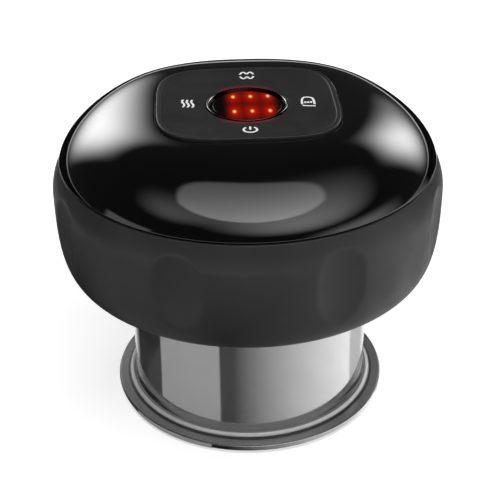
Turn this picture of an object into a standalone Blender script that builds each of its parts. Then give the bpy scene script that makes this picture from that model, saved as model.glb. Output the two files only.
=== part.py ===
"""Electric cupping massager, standing on the rim of its cup.

Lengths are metres, +Z is up, the front with the power key faces -Y and the charging inlet faces +Y.
The origin is the centre of the cup's rim. The pump lies along X and is drawn along its own Z axis.
"""

import math

import bmesh
import bpy
from mathutils import Matrix, Vector

# Clearances that every piece shares
SEAT_GAP = 0.0003  # between a piece and what carries it
FIT_GAP = 0.0003  # round a piece that sits in a pocket or a bore
CUT_OVERRUN = 0.001  # how far a cutter passes the face that it leaves by
JOIN_DEPTH = 0.0005  # how far a boss sinks into the wall that it grows from
MERGE = 0.00001

# Counts of straight sides on round shapes
SHELL_STEPS = 48
ROUND_STEPS = 32
SMALL_STEPS = 20
TINY_STEPS = 10
CORNER_STEPS = 2
ROUND_CORNER_STEPS = 4

# Cup
CUP_WALL = 0.0022
CUP_HEIGHT = 0.0364
FOOT_HEIGHT = 0.0054
FOOT_FLARE = 0.0017
FOOT_STEP = 0.0005
RIM_WIDTH = 0.00287
RIM_THICKNESS = 0.0022
RIM_EDGE = 0.0005
RIM_BEVEL = 0.001
FOOT_STEPS = 3

# Base plate with its spigot for the cup
BASE_THICKNESS = 0.0022
SPIGOT_GAP = 0.0014
SPIGOT_WALL = 0.0031
SPIGOT_LENGTH = 0.006
SEAL_HEIGHT_SHARE = 0.5
SEAL_GROOVE_DEPTH = 0.001
SEAL_RADIUS = 0.0009
RIB_WIDTH = 0.003
SADDLE_DEPTH_SHARE = 0.55
BATTERY_RIB_SHARE = 0.55

# Screws
CASE_SCREW_RADIUS = 0.0012
CASE_HEAD_RADIUS = 0.0026
CASE_HEAD_HEIGHT = 0.0008
CASE_SCREW_LENGTH = 0.0095
BOARD_SCREW_RADIUS = 0.001
BOARD_HEAD_RADIUS = 0.0019
BOARD_HEAD_HEIGHT = 0.0009
BOARD_SCREW_GRIP = 0.0014
POWER_SCREW_GRIP = 0.0042
DRIVE_SLOT_SHARE = 0.5

# Case posts, base hole and housing
CUP_POST_GAP = 0.00055
POST_RADIUS = 0.003
POST_LEDGE_GAP = 0.00055
LEDGE_WIDTH = 0.0018
LEDGE_THICKNESS = 0.0016
BOTTOM_LIP = 0.0009
BASE_RECESS = 0.00045
BODY_BULGE = 0.0069
SEAM_INSET = 0.0019
WIDEST_DROP = 0.0071
LOWER_CURVE_POWER = 3.2
LOWER_CURVE_STEPS = 9
UPPER_CURVE_STEPS = 3
SHELL_WALL = 0.0024
POST_ANGLE = math.radians(64)

# Finger recesses
RECESS_COUNT = 8
RECESS_TURN_SHARE = 0.5  # how far the first stands round from +X, in steps between recesses
RECESS_BALL = (0.016, 0.026, 0.052)  # the cutting ellipsoid: outwards, round the body and upright
RECESS_DEPTH = 0.0013
RECESS_RISE_SHARE = 0.528
RECESS_ROUND_STEPS = 24
RECESS_RISE_STEPS = 24

# Cover
DOME_RISE = 0.0118
DOME_CURVE_POWER = 1.9
DOME_END_ANGLE = math.radians(78)
DOME_BLEND_POWER = 2
REVEAL = 0.0005
TONGUE_HEIGHT = 0.0018
TONGUE_WALL = 0.0014
DECK_HALF = 0.022
DECK_CURVE_POWER = 1.5
DECK_END_ANGLE = math.radians(90)
POCKET_DEPTH = 0.0011
DECK_THICKNESS = 0.0016
PANEL_LEDGE = 0.0021
POST_TOP_SHARE = 0.65
DOME_STEPS = 10
DECK_STEPS = 5
BOSS_RADIUS = 0.0022
BOARD_DROP = 0.0025
BOARD_PUMP_GAP = 0.0019

# Control panel
PANEL_KEY_MARGIN = 0.0064
PANEL_POWER = 3.85
PANEL_DEPTH_SHARE = 0.957
PANEL_PROUD = 0.0007
PANEL_RIM_HEIGHT = 0.0005
PANEL_RIM_WIDTH = 0.0008
PANEL_BEVEL = 0.0002
PANEL_DISH = 0.0004
PANEL_STEPS = 64
DISPLAY_HOLE = 0.0096

# Display
RING_FACE = 0.0005
RING_CHAMFER = 0.0011
RING_WALL = 0.001
RING_FOOT_WIDTH = 0.0013
RING_FOOT = 0.0007
WINDOW_THICKNESS = 0.0014
LIGHT_BOX_WALL = 0.0014
LAMP_PITCH = 0.004
LAMP_ROW_GAP = 0.0081
LAMP_SIZE = (0.002, 0.0014, 0.0007)

# Control board and keys
BOARD_MARGIN = 0.0025
BOARD_THICKNESS = 0.0012
SWITCH_HALF = 0.0022
SWITCH_CORNER = 0.0005
SWITCH_HEIGHT = 0.0018
PLUNGER_RADIUS = 0.0012
PLUNGER_LIFT = 0.0008
KEY_RING_GAP = 0.0018
KEY_FRONT_SHIFT = 0.0009

# Roof of the cup
HEATER_THICKNESS = 0.0015
HEATER_BEVEL = 0.0005
HEATER_AIR_RADIUS = 0.0035
FILM_THICKNESS = 0.0003
FILM_LAMP_GAP = 0.0021
FILTER_MARGIN = 0.0009
FILTER_THICKNESS = 0.0018
RED_BOARD_HOLE = 0.006
RED_BOARD_THICKNESS = 0.0012
RED_BOARD_DROP = 0.0023
RED_LAMP_COUNT = 6
RED_LAMP_INSET = 0.0046
RED_LAMP_HALF = 0.0009
RED_LAMP_HEIGHT = 0.0012
RED_HOLE_RADIUS = 0.0016
RED_PEG_RADIUS = 0.0016
RED_PEG_COUNT = 4

# Pump, along its own axis
PUMP_MARGIN = 0.001
PUMP_CORNER = 0.0025
PUMP_LEDGE_GAP = 0.0004
PUMP_POST_GAP = 0.0009
END_CAP_LENGTH = 0.002
MOTOR_LENGTH = 0.028
MOTOR_RADIUS = 0.012
MOTOR_WALL = 0.001
MAGNET_THICKNESS = 0.0014
AIR_GAP = 0.0007
CORE_MARGIN = 0.006
COMMUTATOR_RADIUS = 0.003
COMMUTATOR_LENGTH = 0.003
SHAFT_RADIUS = 0.001
PUMP_WALL = 0.002
SHAFT_HOLE = 0.003
CRANK_GAP = 0.0006
CRANK_RADIUS = 0.0055
CRANK_SHAFT_DEPTH = 0.0026
CRANK_WEB = 0.0006
CRANK_PIN_DEPTH = 0.0024
CRANK_HUB_GAP = 0.0017
PIN_TILT = math.radians(7.25)
PIN_RADIUS = 0.0007
HUB_RADIUS = 0.0022
HUB_LENGTH = 0.0026
ROCKER_BORE_GAP = 0.0018
ROCKER_THICKNESS = 0.0012
ROCKER_SWING_GAP = 0.0006
ROCKER_HOLE = 0.0015
CHAMBER_COUNT = 3
CHAMBER_EDGE = 0.003
CHAMBER_RADIUS = 0.003
CHAMBER_DEPTH = 0.0022
STEM_RADIUS = 0.0008
STEM_LENGTH = 0.0038
SHEET_THICKNESS = 0.001
VALVE_PLATE_LENGTH = 0.003
VALVE_HOLE = 0.0006
HEAD_LENGTH = 0.0035
PORT_LENGTH = 0.005
PORT_RADIUS = 0.0016
PORT_BORE = 0.0008
PORT_REACH = 0.005
PUMP_SCREW_INSET = 0.0026
PUMP_SCREW_DEPTH = 0.010
DAMPER_WALL = 0.0013
DAMPER_LENGTH = 0.0078
DAMPER_FROM_BODY = 0.0057

# Battery and power board
BATTERY_RADIUS = 0.0092
BATTERY_LENGTH = 0.065
BATTERY_BASE_GAP = 0.0029
BATTERY_POST_GAP = 0.0019
BATTERY_CROWN = 0.0006
BATTERY_TIP_RADIUS = 0.003
POWER_BOARD_HALF = 0.011
POWER_BOARD_CORNER = 0.001
POWER_BOARD_GAP = 0.001
POWER_BOARD_THICKNESS = 0.0012
POWER_POST_RADIUS = 0.0022
POWER_POST_HEIGHT = 0.0078
POWER_POST_REACH = 0.0075
POWER_POST_INSET = 0.0037
SOCKET_HALF_WIDTH = 0.0045
SOCKET_HALF_HEIGHT = 0.0016
SOCKET_DEPTH = 0.0074
SOCKET_WALL = 0.00035
SOCKET_ROUND_SHARE = 0.9
SOCKET_TONGUE_HALF = 0.00335
SOCKET_TONGUE_THICKNESS = 0.0007
SOCKET_BACK = 0.0012
SOCKET_SINK = 0.0014

# Release valve
VALVE_HALF_X = 0.0044
VALVE_HALF_Y = 0.0052
VALVE_CORNER = 0.0016
VALVE_INSET = 0.0015
VALVE_FROM_PUMP = 0.0035
VALVE_FOOT_RADIUS = 0.0018
VALVE_LEDGE_GAP = 0.0006
VALVE_BORE = 0.0028
VALVE_SEAT_HEIGHT = 0.003
VALVE_NOZZLE_LENGTH = 0.0045
VALVE_NOZZLE_RADIUS = 0.0015
VALVE_NOZZLE_RISE = 0.0045
VALVE_PLUNGER_LENGTH = 0.0067
VALVE_CAP_HEIGHT = 0.0012
VALVE_CAP_HOLE = 0.0008
SPRING_SPACE = 0.0043
SPRING_RADIUS = 0.0019
SPRING_WIRE = 0.00025
SPRING_TURNS = 4
SPRING_POINTS = 9

# Hoses
LANE_WIDTH = 0.0058
HOSE_RADIUS = 0.0016
NOZZLE_RADIUS = 0.0016
NOZZLE_BORE = 0.0008
NOZZLE_HEIGHT = 0.0025
NOZZLE_REACH = 0.006
HOSE_STRAIGHT = 0.0024
HOSE_BULGE = 0.0036
HOSE_SIDE_RUN = 0.003
HOSE_STEPS = 4

# Sizes across the pump and the display, from the inside out
PUMP_HALF = MOTOR_RADIUS + PUMP_MARGIN
PUMP_BORE = PUMP_HALF - PUMP_WALL
ROCKER_RADIUS = PUMP_BORE - ROCKER_BORE_GAP
CHAMBER_CIRCLE = ROCKER_RADIUS - CHAMBER_EDGE
PUMP_SCREW_REACH = PUMP_HALF - PUMP_SCREW_INSET
DAMPER_RADIUS = MOTOR_RADIUS + FIT_GAP + DAMPER_WALL
RING_OUTER = DISPLAY_HOLE - FIT_GAP
RING_INNER = RING_OUTER - RING_WALL
WINDOW_RADIUS = RING_INNER - FIT_GAP
KEY_SIDE_REACH = RING_OUTER + RING_FOOT_WIDTH + KEY_RING_GAP + PLUNGER_RADIUS
KEY_FRONT_REACH = KEY_SIDE_REACH + KEY_FRONT_SHIFT
PANEL_HALF = KEY_FRONT_REACH + PANEL_KEY_MARGIN
BOSS_REACH = PANEL_HALF + BOSS_RADIUS - FIT_GAP
BOARD_RADIUS = BOSS_REACH + BOARD_MARGIN

# Case posts before the pump and behind the cell, which stand back to back across the hoses' lane
POSTS_APART = (
    POST_RADIUS * 2 + PUMP_POST_GAP + PUMP_HALF * 2 + LANE_WIDTH + BATTERY_RADIUS * 2 + BATTERY_POST_GAP
)
POST_Y = POSTS_APART / 2
POST_X = POST_Y / math.tan(POST_ANGLE)
POST_CIRCLE = POST_Y / math.sin(POST_ANGLE)
PUMP_Y = PUMP_HALF + PUMP_POST_GAP + POST_RADIUS - POST_Y
BATTERY_Y = POST_Y - POST_RADIUS - BATTERY_POST_GAP - BATTERY_RADIUS
LANE_Y = PUMP_Y + PUMP_HALF + LANE_WIDTH / 2

# Radii, from the posts in to the cup and out to the housing
CUP_RADIUS = POST_CIRCLE - POST_RADIUS - CUP_POST_GAP
CUP_INNER = CUP_RADIUS - CUP_WALL
SPIGOT_RADIUS = CUP_INNER - SPIGOT_GAP
SPIGOT_INNER = SPIGOT_RADIUS - SPIGOT_WALL
RED_LAMP_CIRCLE = SPIGOT_INNER - RED_LAMP_INSET
RED_PEG_CIRCLE = (RED_BOARD_HOLE + RED_LAMP_CIRCLE) / 2
LEDGE_RADIUS = POST_CIRCLE + POST_RADIUS + POST_LEDGE_GAP
BASE_HOLE_RADIUS = LEDGE_RADIUS + LEDGE_WIDTH
BASE_RADIUS = BASE_HOLE_RADIUS - FIT_GAP
BOTTOM_RADIUS = BASE_HOLE_RADIUS + BOTTOM_LIP
BODY_RADIUS = BOTTOM_RADIUS + BODY_BULGE
SEAM_RADIUS = BODY_RADIUS - SEAM_INSET
SKIRT_INNER = SEAM_RADIUS - SHELL_WALL
TONGUE_OUTER = SKIRT_INNER - FIT_GAP
VALVE_AWAY = LEDGE_RADIUS - VALVE_INSET
POWER_BOARD_Y = BATTERY_Y + BATTERY_RADIUS + POWER_BOARD_GAP
POWER_BOARD_DEPTH = SKIRT_INNER - POWER_BOARD_GAP - POWER_BOARD_Y

# Heights, from the rim up through the pump to the panel
BASE_LOW = CUP_HEIGHT + SEAT_GAP
BASE_TOP = BASE_LOW + BASE_THICKNESS
BOTTOM_HEIGHT = BASE_LOW - BASE_RECESS
LEDGE_LOW = BASE_TOP + SEAT_GAP
LEDGE_TOP = LEDGE_LOW + LEDGE_THICKNESS
PUMP_Z = LEDGE_TOP + PUMP_LEDGE_GAP + PUMP_HALF
BATTERY_Z = BASE_TOP + BATTERY_BASE_GAP + BATTERY_RADIUS
BOARD_LOW = PUMP_Z + PUMP_HALF + BOARD_PUMP_GAP
BOARD_TOP = BOARD_LOW + BOARD_THICKNESS
DECK_LOW = BOARD_TOP + BOARD_DROP
POCKET_FLOOR = DECK_LOW + DECK_THICKNESS
DOME_TOP = POCKET_FLOOR + POCKET_DEPTH
SEAM_HEIGHT = DOME_TOP - DOME_RISE
BODY_LIP_HEIGHT = SEAM_HEIGHT - REVEAL / 2
COVER_EDGE_HEIGHT = SEAM_HEIGHT + REVEAL / 2
WIDEST_HEIGHT = SEAM_HEIGHT - WIDEST_DROP
WIDEST_RISE = WIDEST_HEIGHT - BOTTOM_HEIGHT
PANEL_LOW = POCKET_FLOOR + SEAT_GAP
PANEL_TOP = DOME_TOP + PANEL_PROUD
PANEL_FACE = PANEL_TOP - PANEL_RIM_HEIGHT
LIGHT_BOX_LOW = BOARD_TOP + SEAT_GAP
SPIGOT_END = BASE_LOW - SPIGOT_LENGTH
HEATER_TOP = SPIGOT_END - SEAT_GAP
HEATER_LOW = HEATER_TOP - HEATER_THICKNESS
RED_BOARD_TOP = BASE_LOW - RED_BOARD_DROP
RED_BOARD_LOW = RED_BOARD_TOP - RED_BOARD_THICKNESS
POWER_BOARD_LOW = BASE_TOP + POWER_POST_HEIGHT + SEAT_GAP
POWER_BOARD_TOP = POWER_BOARD_LOW + POWER_BOARD_THICKNESS
SOCKET_Z = POWER_BOARD_TOP + SEAT_GAP + SOCKET_HALF_HEIGHT
VALVE_Y = PUMP_Y + VALVE_FROM_PUMP
VALVE_LOW = LEDGE_TOP + VALVE_LEDGE_GAP
VALVE_HEIGHT = VALVE_SEAT_HEIGHT + VALVE_PLUNGER_LENGTH + SPRING_SPACE + SEAT_GAP * 2
VALVE_TOP = VALVE_LOW + VALVE_HEIGHT

# Stations along the pump's axis, measured from the middle of the body
CRANK_LENGTH = CRANK_SHAFT_DEPTH + CRANK_WEB + CRANK_PIN_DEPTH
ROCKER_SWING = ROCKER_THICKNESS / 2 + ROCKER_RADIUS * math.sin(PIN_TILT)
PIVOT_FROM_SHEET = CHAMBER_DEPTH + ROCKER_SWING_GAP + ROCKER_SWING
PUMP_BODY_LENGTH = (
    PUMP_WALL + CRANK_GAP + CRANK_LENGTH + CRANK_HUB_GAP + HUB_LENGTH + PIVOT_FROM_SHEET - SEAT_GAP
)
PUMP_LENGTH = (
    END_CAP_LENGTH + MOTOR_LENGTH + PUMP_BODY_LENGTH + SHEET_THICKNESS + VALVE_PLATE_LENGTH
    + HEAD_LENGTH + SEAT_GAP * 5
)
END_CAP_AT = -PUMP_LENGTH / 2
MOTOR_AT = END_CAP_AT + END_CAP_LENGTH + SEAT_GAP
MOTOR_END = MOTOR_AT + MOTOR_LENGTH
CORE_AT = MOTOR_AT + CORE_MARGIN
CORE_END = MOTOR_END - MOTOR_WALL - CORE_MARGIN
PUMP_BODY_AT = MOTOR_END + SEAT_GAP
PUMP_BODY_END = PUMP_BODY_AT + PUMP_BODY_LENGTH
SHEET_AT = PUMP_BODY_END + SEAT_GAP
VALVE_PLATE_AT = SHEET_AT + SHEET_THICKNESS + SEAT_GAP
HEAD_AT = VALVE_PLATE_AT + VALVE_PLATE_LENGTH + SEAT_GAP
HEAD_END = HEAD_AT + HEAD_LENGTH
DAMPER_AT = PUMP_BODY_AT - DAMPER_FROM_BODY - DAMPER_LENGTH
CRANK_AT = PUMP_BODY_AT + PUMP_WALL + CRANK_GAP
CRANK_END = CRANK_AT + CRANK_LENGTH
PIVOT_AT = SHEET_AT - PIVOT_FROM_SHEET

# Colours, roughness and metallic value of each finish
FINISHES = {
    "gloss_black": ((0.008, 0.008, 0.009), 0.06, 0.0),
    "matte_charcoal": ((0.035, 0.035, 0.037), 0.48, 0.0),
    "panel_grey": ((0.022, 0.022, 0.024), 0.42, 0.0),
    "bright_bevel": ((0.8, 0.8, 0.82), 0.15, 1.0),
    "dark_lens": ((0.02, 0.004, 0.004), 0.08, 0.0),
    "lamp_red": ((1.0, 0.16, 0.05), 0.3, 0.0),
    "smoke_clear": ((0.25, 0.25, 0.26), 0.04, 0.0),
    "black_plastic": ((0.02, 0.02, 0.021), 0.5, 0.0),
    "white_plastic": ((0.75, 0.75, 0.72), 0.45, 0.0),
    "board_green": ((0.01, 0.12, 0.04), 0.35, 0.0),
    "steel": ((0.55, 0.55, 0.56), 0.25, 1.0),
    "dark_magnet": ((0.05, 0.05, 0.052), 0.6, 0.0),
    "copper_film": ((0.55, 0.27, 0.1), 0.35, 1.0),
    "cell_wrap": ((0.05, 0.16, 0.4), 0.3, 0.0),
    "rubber_black": ((0.015, 0.015, 0.015), 0.75, 0.0),
    "foam_grey": ((0.12, 0.12, 0.12), 0.95, 0.0),
    "hose_clear": ((0.6, 0.6, 0.56), 0.35, 0.0),
}


def clear_scene():
    for old in list(bpy.data.objects):
        bpy.data.objects.remove(old, do_unlink=True)


def new_collection(name):
    made = bpy.data.collections.new(name)
    bpy.context.scene.collection.children.link(made)
    return made


clear_scene()
PARTS = new_collection("electric_cupping_massager")
HELPERS = new_collection("cutters_and_guides")
HELPERS.hide_render = True


def coat(obj, finish):
    """Gives the object a material of its own with the finish's values."""
    colour, roughness, metallic = FINISHES[finish]
    material = bpy.data.materials.new(obj.name + "_" + finish)
    material.use_nodes = True
    shader = material.node_tree.nodes["Principled BSDF"]
    shader.inputs["Base Color"].default_value = (*colour, 1.0)
    shader.inputs["Roughness"].default_value = roughness
    shader.inputs["Metallic"].default_value = metallic
    obj.data.materials.clear()
    obj.data.materials.append(material)


def settle(obj, finish=None, frame=None, smooth=True):
    """Puts a piece with the parts, or a shape with no finish with the helpers."""
    if finish is None:
        HELPERS.objects.link(obj)
        obj.hide_render = True
        obj.display_type = "WIRE"
    else:
        PARTS.objects.link(obj)
        coat(obj, finish)
        if smooth and obj.type == "MESH":
            obj.data.shade_smooth()
            obj.data.set_sharp_from_angle(angle=math.radians(35))
    if frame is not None:
        obj.parent = frame
    return obj


def guide(name, location=(0, 0, 0), turn=None, frame=None):
    """An empty that holds a group of pieces on one axis."""
    empty = bpy.data.objects.new(name, None)
    HELPERS.objects.link(empty)
    empty.hide_render = True
    empty.location = location
    if turn is not None:
        empty.rotation_euler = turn
    if frame is not None:
        empty.parent = frame
    return empty


def mesh_object(name, shape):
    mesh = bpy.data.meshes.new(name)
    shape.to_mesh(mesh)
    shape.free()
    return bpy.data.objects.new(name, mesh)


def turned(name, outline, finish=None, steps=ROUND_STEPS, closed=False, at=(0, 0, 0), frame=None):
    """A profile turned about Z. Its points run down the outer side, from the top."""
    mesh = bpy.data.meshes.new(name)
    points = [(radius, 0, height) for radius, height in outline]
    edges = [(i, i + 1) for i in range(len(points) - 1)]
    if closed:
        edges.append((len(points) - 1, 0))
    mesh.from_pydata(points, edges, [])
    obj = bpy.data.objects.new(name, mesh)
    obj.location = at
    turn = obj.modifiers.new("Turn", "SCREW")
    turn.steps = steps
    turn.render_steps = steps
    turn.use_merge_vertices = True
    turn.merge_threshold = MERGE
    turn.use_smooth_shade = True
    return settle(obj, finish, frame)


def disc(name, radius, low, high, finish=None, steps=ROUND_STEPS, at=(0, 0, 0), frame=None):
    outline = [(0, high), (radius, high), (radius, low), (0, low)]
    return turned(name, outline, finish, steps, False, at, frame)


def tube_ring(name, inner, outer, low, high, finish=None, steps=ROUND_STEPS, at=(0, 0, 0), frame=None):
    outline = [(outer, high), (outer, low), (inner, low), (inner, high)]
    return turned(name, outline, finish, steps, True, at, frame)


def circle(radius, steps=SMALL_STEPS, centre=(0, 0)):
    angles = [math.tau * i / steps for i in range(steps)]
    return [(centre[0] + radius * math.cos(a), centre[1] + radius * math.sin(a)) for a in angles]


def rounded_box(half_x, half_y, corner, steps=ROUND_CORNER_STEPS, centre=(0, 0)):
    """Outline of a rectangle with round corners."""
    points = []
    for quarter, (side_x, side_y) in enumerate([(1, 1), (-1, 1), (-1, -1), (1, -1)]):
        for i in range(steps + 1):
            angle = math.pi / 2 * (quarter + i / steps)
            x = centre[0] + side_x * (half_x - corner) + corner * math.cos(angle)
            y = centre[1] + side_y * (half_y - corner) + corner * math.sin(angle)
            points.append((x, y))
    return points


def squircle(half, power, share=1):
    """Outline between a circle, power 2, and a square. Share is its size along Y against its size along X."""
    points = []
    for i in range(PANEL_STEPS):
        angle = math.tau * i / PANEL_STEPS
        across, along = math.cos(angle), math.sin(angle)
        reach = half * (abs(across) ** power + abs(along) ** power) ** (-1 / power)
        points.append((reach * across, reach * along * share))
    return points


def plate(name, outlines, low, high, finish=None, at=(0, 0, 0), frame=None, turn=None):
    """A flat outline, with any further outlines as holes, filled and extruded to its thickness."""
    curve = bpy.data.curves.new(name, "CURVE")
    curve.dimensions = "2D"
    curve.fill_mode = "BOTH"
    curve.extrude = (high - low) / 2
    for outline in outlines:
        spline = curve.splines.new("POLY")
        spline.points.add(len(outline) - 1)
        for point, (x, y) in zip(spline.points, outline):
            point.co = (x, y, 0, 1)
        spline.use_cyclic_u = True
    drawn = bpy.data.objects.new(name + "_outline", curve)
    PARTS.objects.link(drawn)
    mesh = bpy.data.meshes.new_from_object(drawn.evaluated_get(bpy.context.evaluated_depsgraph_get()))
    bpy.data.objects.remove(drawn)
    shape = bmesh.new()
    shape.from_mesh(mesh)
    bmesh.ops.remove_doubles(shape, verts=shape.verts, dist=MERGE)
    bmesh.ops.recalc_face_normals(shape, faces=shape.faces)
    obj = mesh_object(name, shape)
    middle = Vector((0, 0, (low + high) / 2))
    if turn is not None:
        middle.rotate(turn)
        obj.rotation_euler = turn.to_euler()
    obj.location = Vector(at) + middle
    return settle(obj, finish, frame, smooth=False)


def blocks(name, boxes, finish=None, frame=None):
    """Boxes, each given by its low and high corners, as one mesh."""
    shape = bmesh.new()
    for low, high in boxes:
        size = Vector(high) - Vector(low)
        middle = (Vector(high) + Vector(low)) / 2
        bmesh.ops.create_cube(shape, size=1, matrix=Matrix.Translation(middle) @ Matrix.Diagonal((*size, 1)))
    return settle(mesh_object(name, shape), finish, frame, smooth=False)


def pegs(name, places, radius, low, high, steps=SMALL_STEPS, finish=None, frame=None):
    """Upright cylinders at a list of places, as one mesh."""
    shape = bmesh.new()
    for x, y in places:
        bmesh.ops.create_cone(
            shape, cap_ends=True, segments=steps, radius1=radius, radius2=radius, depth=high - low,
            matrix=Matrix.Translation((x, y, (low + high) / 2)),
        )
    return settle(mesh_object(name, shape), finish, frame)


def lofted(name, sections, finish):
    """A closed loop of sections, each a half width, a height, a power and a share."""
    shape = bmesh.new()
    rings = []
    for half, height, power, share in sections:
        rings.append([shape.verts.new((x, y, height)) for x, y in squircle(half, power, share)])
    for ring, following in zip(rings, rings[1:] + rings[:1]):
        for i in range(len(ring)):
            after = (i + 1) % len(ring)
            shape.faces.new((ring[i], ring[after], following[after], following[i]))
    bmesh.ops.recalc_face_normals(shape, faces=shape.faces)
    return settle(mesh_object(name, shape), finish)


def change(target, shape, operation):
    step = target.modifiers.new(operation.title() + " " + shape.name, "BOOLEAN")
    step.operation = operation
    step.object = shape


def join(target, *shapes):
    for shape in shapes:
        change(target, shape, "UNION")


def cut(target, *shapes):
    for shape in shapes:
        change(target, shape, "DIFFERENCE")


def around(count, reach, first=0.0):
    angles = [first + math.tau * i / count for i in range(count)]
    return [(reach * math.cos(a), reach * math.sin(a)) for a in angles]


def panel_section(half, height):
    return half, height, PANEL_POWER, PANEL_DEPTH_SHARE


def round_section(radius, height):
    return radius, height, 2, 1


def curve_point(angle, curve_power):
    """Distance out and distance down from the top of a curve of unit size, at an angle from its top."""
    return math.sin(angle) ** (2 / curve_power), 1 - max(math.cos(angle), 0) ** (2 / curve_power)


def dome_sections(inner, outer, low, high, curve_power, end_angle, steps):
    """Sections from the panel's outline at the high height, out and down to a circle at the low height."""
    last_out, last_down = curve_point(end_angle, curve_power)
    sections = []
    for i in range(steps + 1):
        out, down = curve_point(end_angle * i / steps, curve_power)
        spread = out / last_out
        height = high + (low - high) * down / last_down
        square = (1 - spread) ** DOME_BLEND_POWER
        power = 2 + (PANEL_POWER - 2) * square
        share = 1 - (1 - PANEL_DEPTH_SHARE) * square
        sections.append((inner + (outer - inner) * spread, height, power, share))
    return sections


def body_outline(steps=LOWER_CURVE_STEPS):
    """Outer side of the lower housing, from its lip down to its bottom edge."""
    points = []
    for i in range(UPPER_CURVE_STEPS):
        share = i / UPPER_CURVE_STEPS
        radius = SEAM_RADIUS + SEAM_INSET * math.sin(math.pi / 2 * share)
        points.append((radius, BODY_LIP_HEIGHT - (BODY_LIP_HEIGHT - WIDEST_HEIGHT) * share))
    for i in range(steps + 1):
        angle = math.pi / 2 * i / steps
        radius = BOTTOM_RADIUS + BODY_BULGE * max(math.cos(angle), 0) ** (2 / LOWER_CURVE_POWER)
        height = WIDEST_HEIGHT - WIDEST_RISE * math.sin(angle) ** (2 / LOWER_CURVE_POWER)
        points.append((radius, height))
    return points


def radius_at(height):
    """Radius of the lower housing's outer side at a height."""
    outline = body_outline(LOWER_CURVE_STEPS * 4)
    for (r0, z0), (r1, z1) in zip(outline, outline[1:]):
        if z1 <= height <= z0 and z0 > z1:
            return r0 + (r1 - r0) * (z0 - height) / (z0 - z1)
    return outline[-1][0]


POSTS = [(POST_X * side_x, POST_Y * side_y) for side_y in (-1, 1) for side_x in (-1, 1)]
BOSSES = around(4, BOSS_REACH)
KEYS = {
    "heat": (-KEY_SIDE_REACH, 0),
    "cup": (KEY_SIDE_REACH, 0),
    "level": (0, KEY_FRONT_REACH),
    "power": (0, -KEY_FRONT_REACH),
}
ALONG_X = (0, math.pi / 2, 0)  # turns a piece's own Z axis to +X
PUMP_FRAME = guide("pump_axis", (0, PUMP_Y, PUMP_Z), ALONG_X)


def screw_outline(radius, head_radius, head_height, length):
    """A screw pointing up, its head's underside at zero."""
    return [
        (0, length),
        (radius, length),
        (radius, 0),
        (head_radius, 0),
        (head_radius, -head_height),
        (radius * DRIVE_SLOT_SHARE, -head_height),
        (radius * DRIVE_SLOT_SHARE, -head_height * DRIVE_SLOT_SHARE),
        (0, -head_height * DRIVE_SLOT_SHARE),
    ]


def make_housing():
    outer = body_outline()
    inside_steps = LOWER_CURVE_STEPS // 2
    inside_rise = BODY_LIP_HEIGHT - TONGUE_HEIGHT - LEDGE_TOP
    inside_heights = [LEDGE_TOP + inside_rise * i / inside_steps for i in range(inside_steps + 1)]
    inner = [(radius_at(z) - SHELL_WALL, z) for z in inside_heights]
    tongue_inner = TONGUE_OUTER - TONGUE_WALL
    tongue_top = SEAM_HEIGHT + TONGUE_HEIGHT
    outline = [(TONGUE_OUTER, tongue_top), (TONGUE_OUTER, BODY_LIP_HEIGHT), *outer]
    outline += [(BASE_HOLE_RADIUS, BOTTOM_HEIGHT), (BASE_HOLE_RADIUS, LEDGE_LOW)]
    outline += [(LEDGE_RADIUS, LEDGE_LOW), (LEDGE_RADIUS, LEDGE_TOP), *inner]
    outline += [(tongue_inner, BODY_LIP_HEIGHT), (tongue_inner, tongue_top)]
    housing = turned("lower_housing", outline, "matte_charcoal", SHELL_STEPS, True)

    shape = bmesh.new()
    middle = BODY_RADIUS + RECESS_BALL[0] / 2 - RECESS_DEPTH
    height = BOTTOM_HEIGHT + (SEAM_HEIGHT - BOTTOM_HEIGHT) * RECESS_RISE_SHARE
    size = Matrix.Diagonal((*RECESS_BALL, 1))
    for i in range(RECESS_COUNT):
        turn = Matrix.Rotation(math.tau * (i + RECESS_TURN_SHARE) / RECESS_COUNT, 4, "Z")
        place = turn @ Matrix.Translation((middle, 0, height)) @ size
        bmesh.ops.create_uvsphere(shape, u_segments=RECESS_ROUND_STEPS, v_segments=RECESS_RISE_STEPS,
                                  radius=1 / 2, matrix=place)
    cut(housing, settle(mesh_object("finger_recesses", shape)))

    slot = rounded_box(
        SOCKET_HALF_WIDTH + FIT_GAP, SOCKET_HALF_HEIGHT + FIT_GAP, SOCKET_HALF_HEIGHT
    )
    away = Matrix.Rotation(-math.pi / 2, 3, "X").to_quaternion()
    port = plate("port_slot", [slot], SKIRT_INNER - SOCKET_SINK, BODY_RADIUS + CUT_OVERRUN,
                 at=(0, 0, SOCKET_Z), turn=away)
    cut(housing, port)


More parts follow.
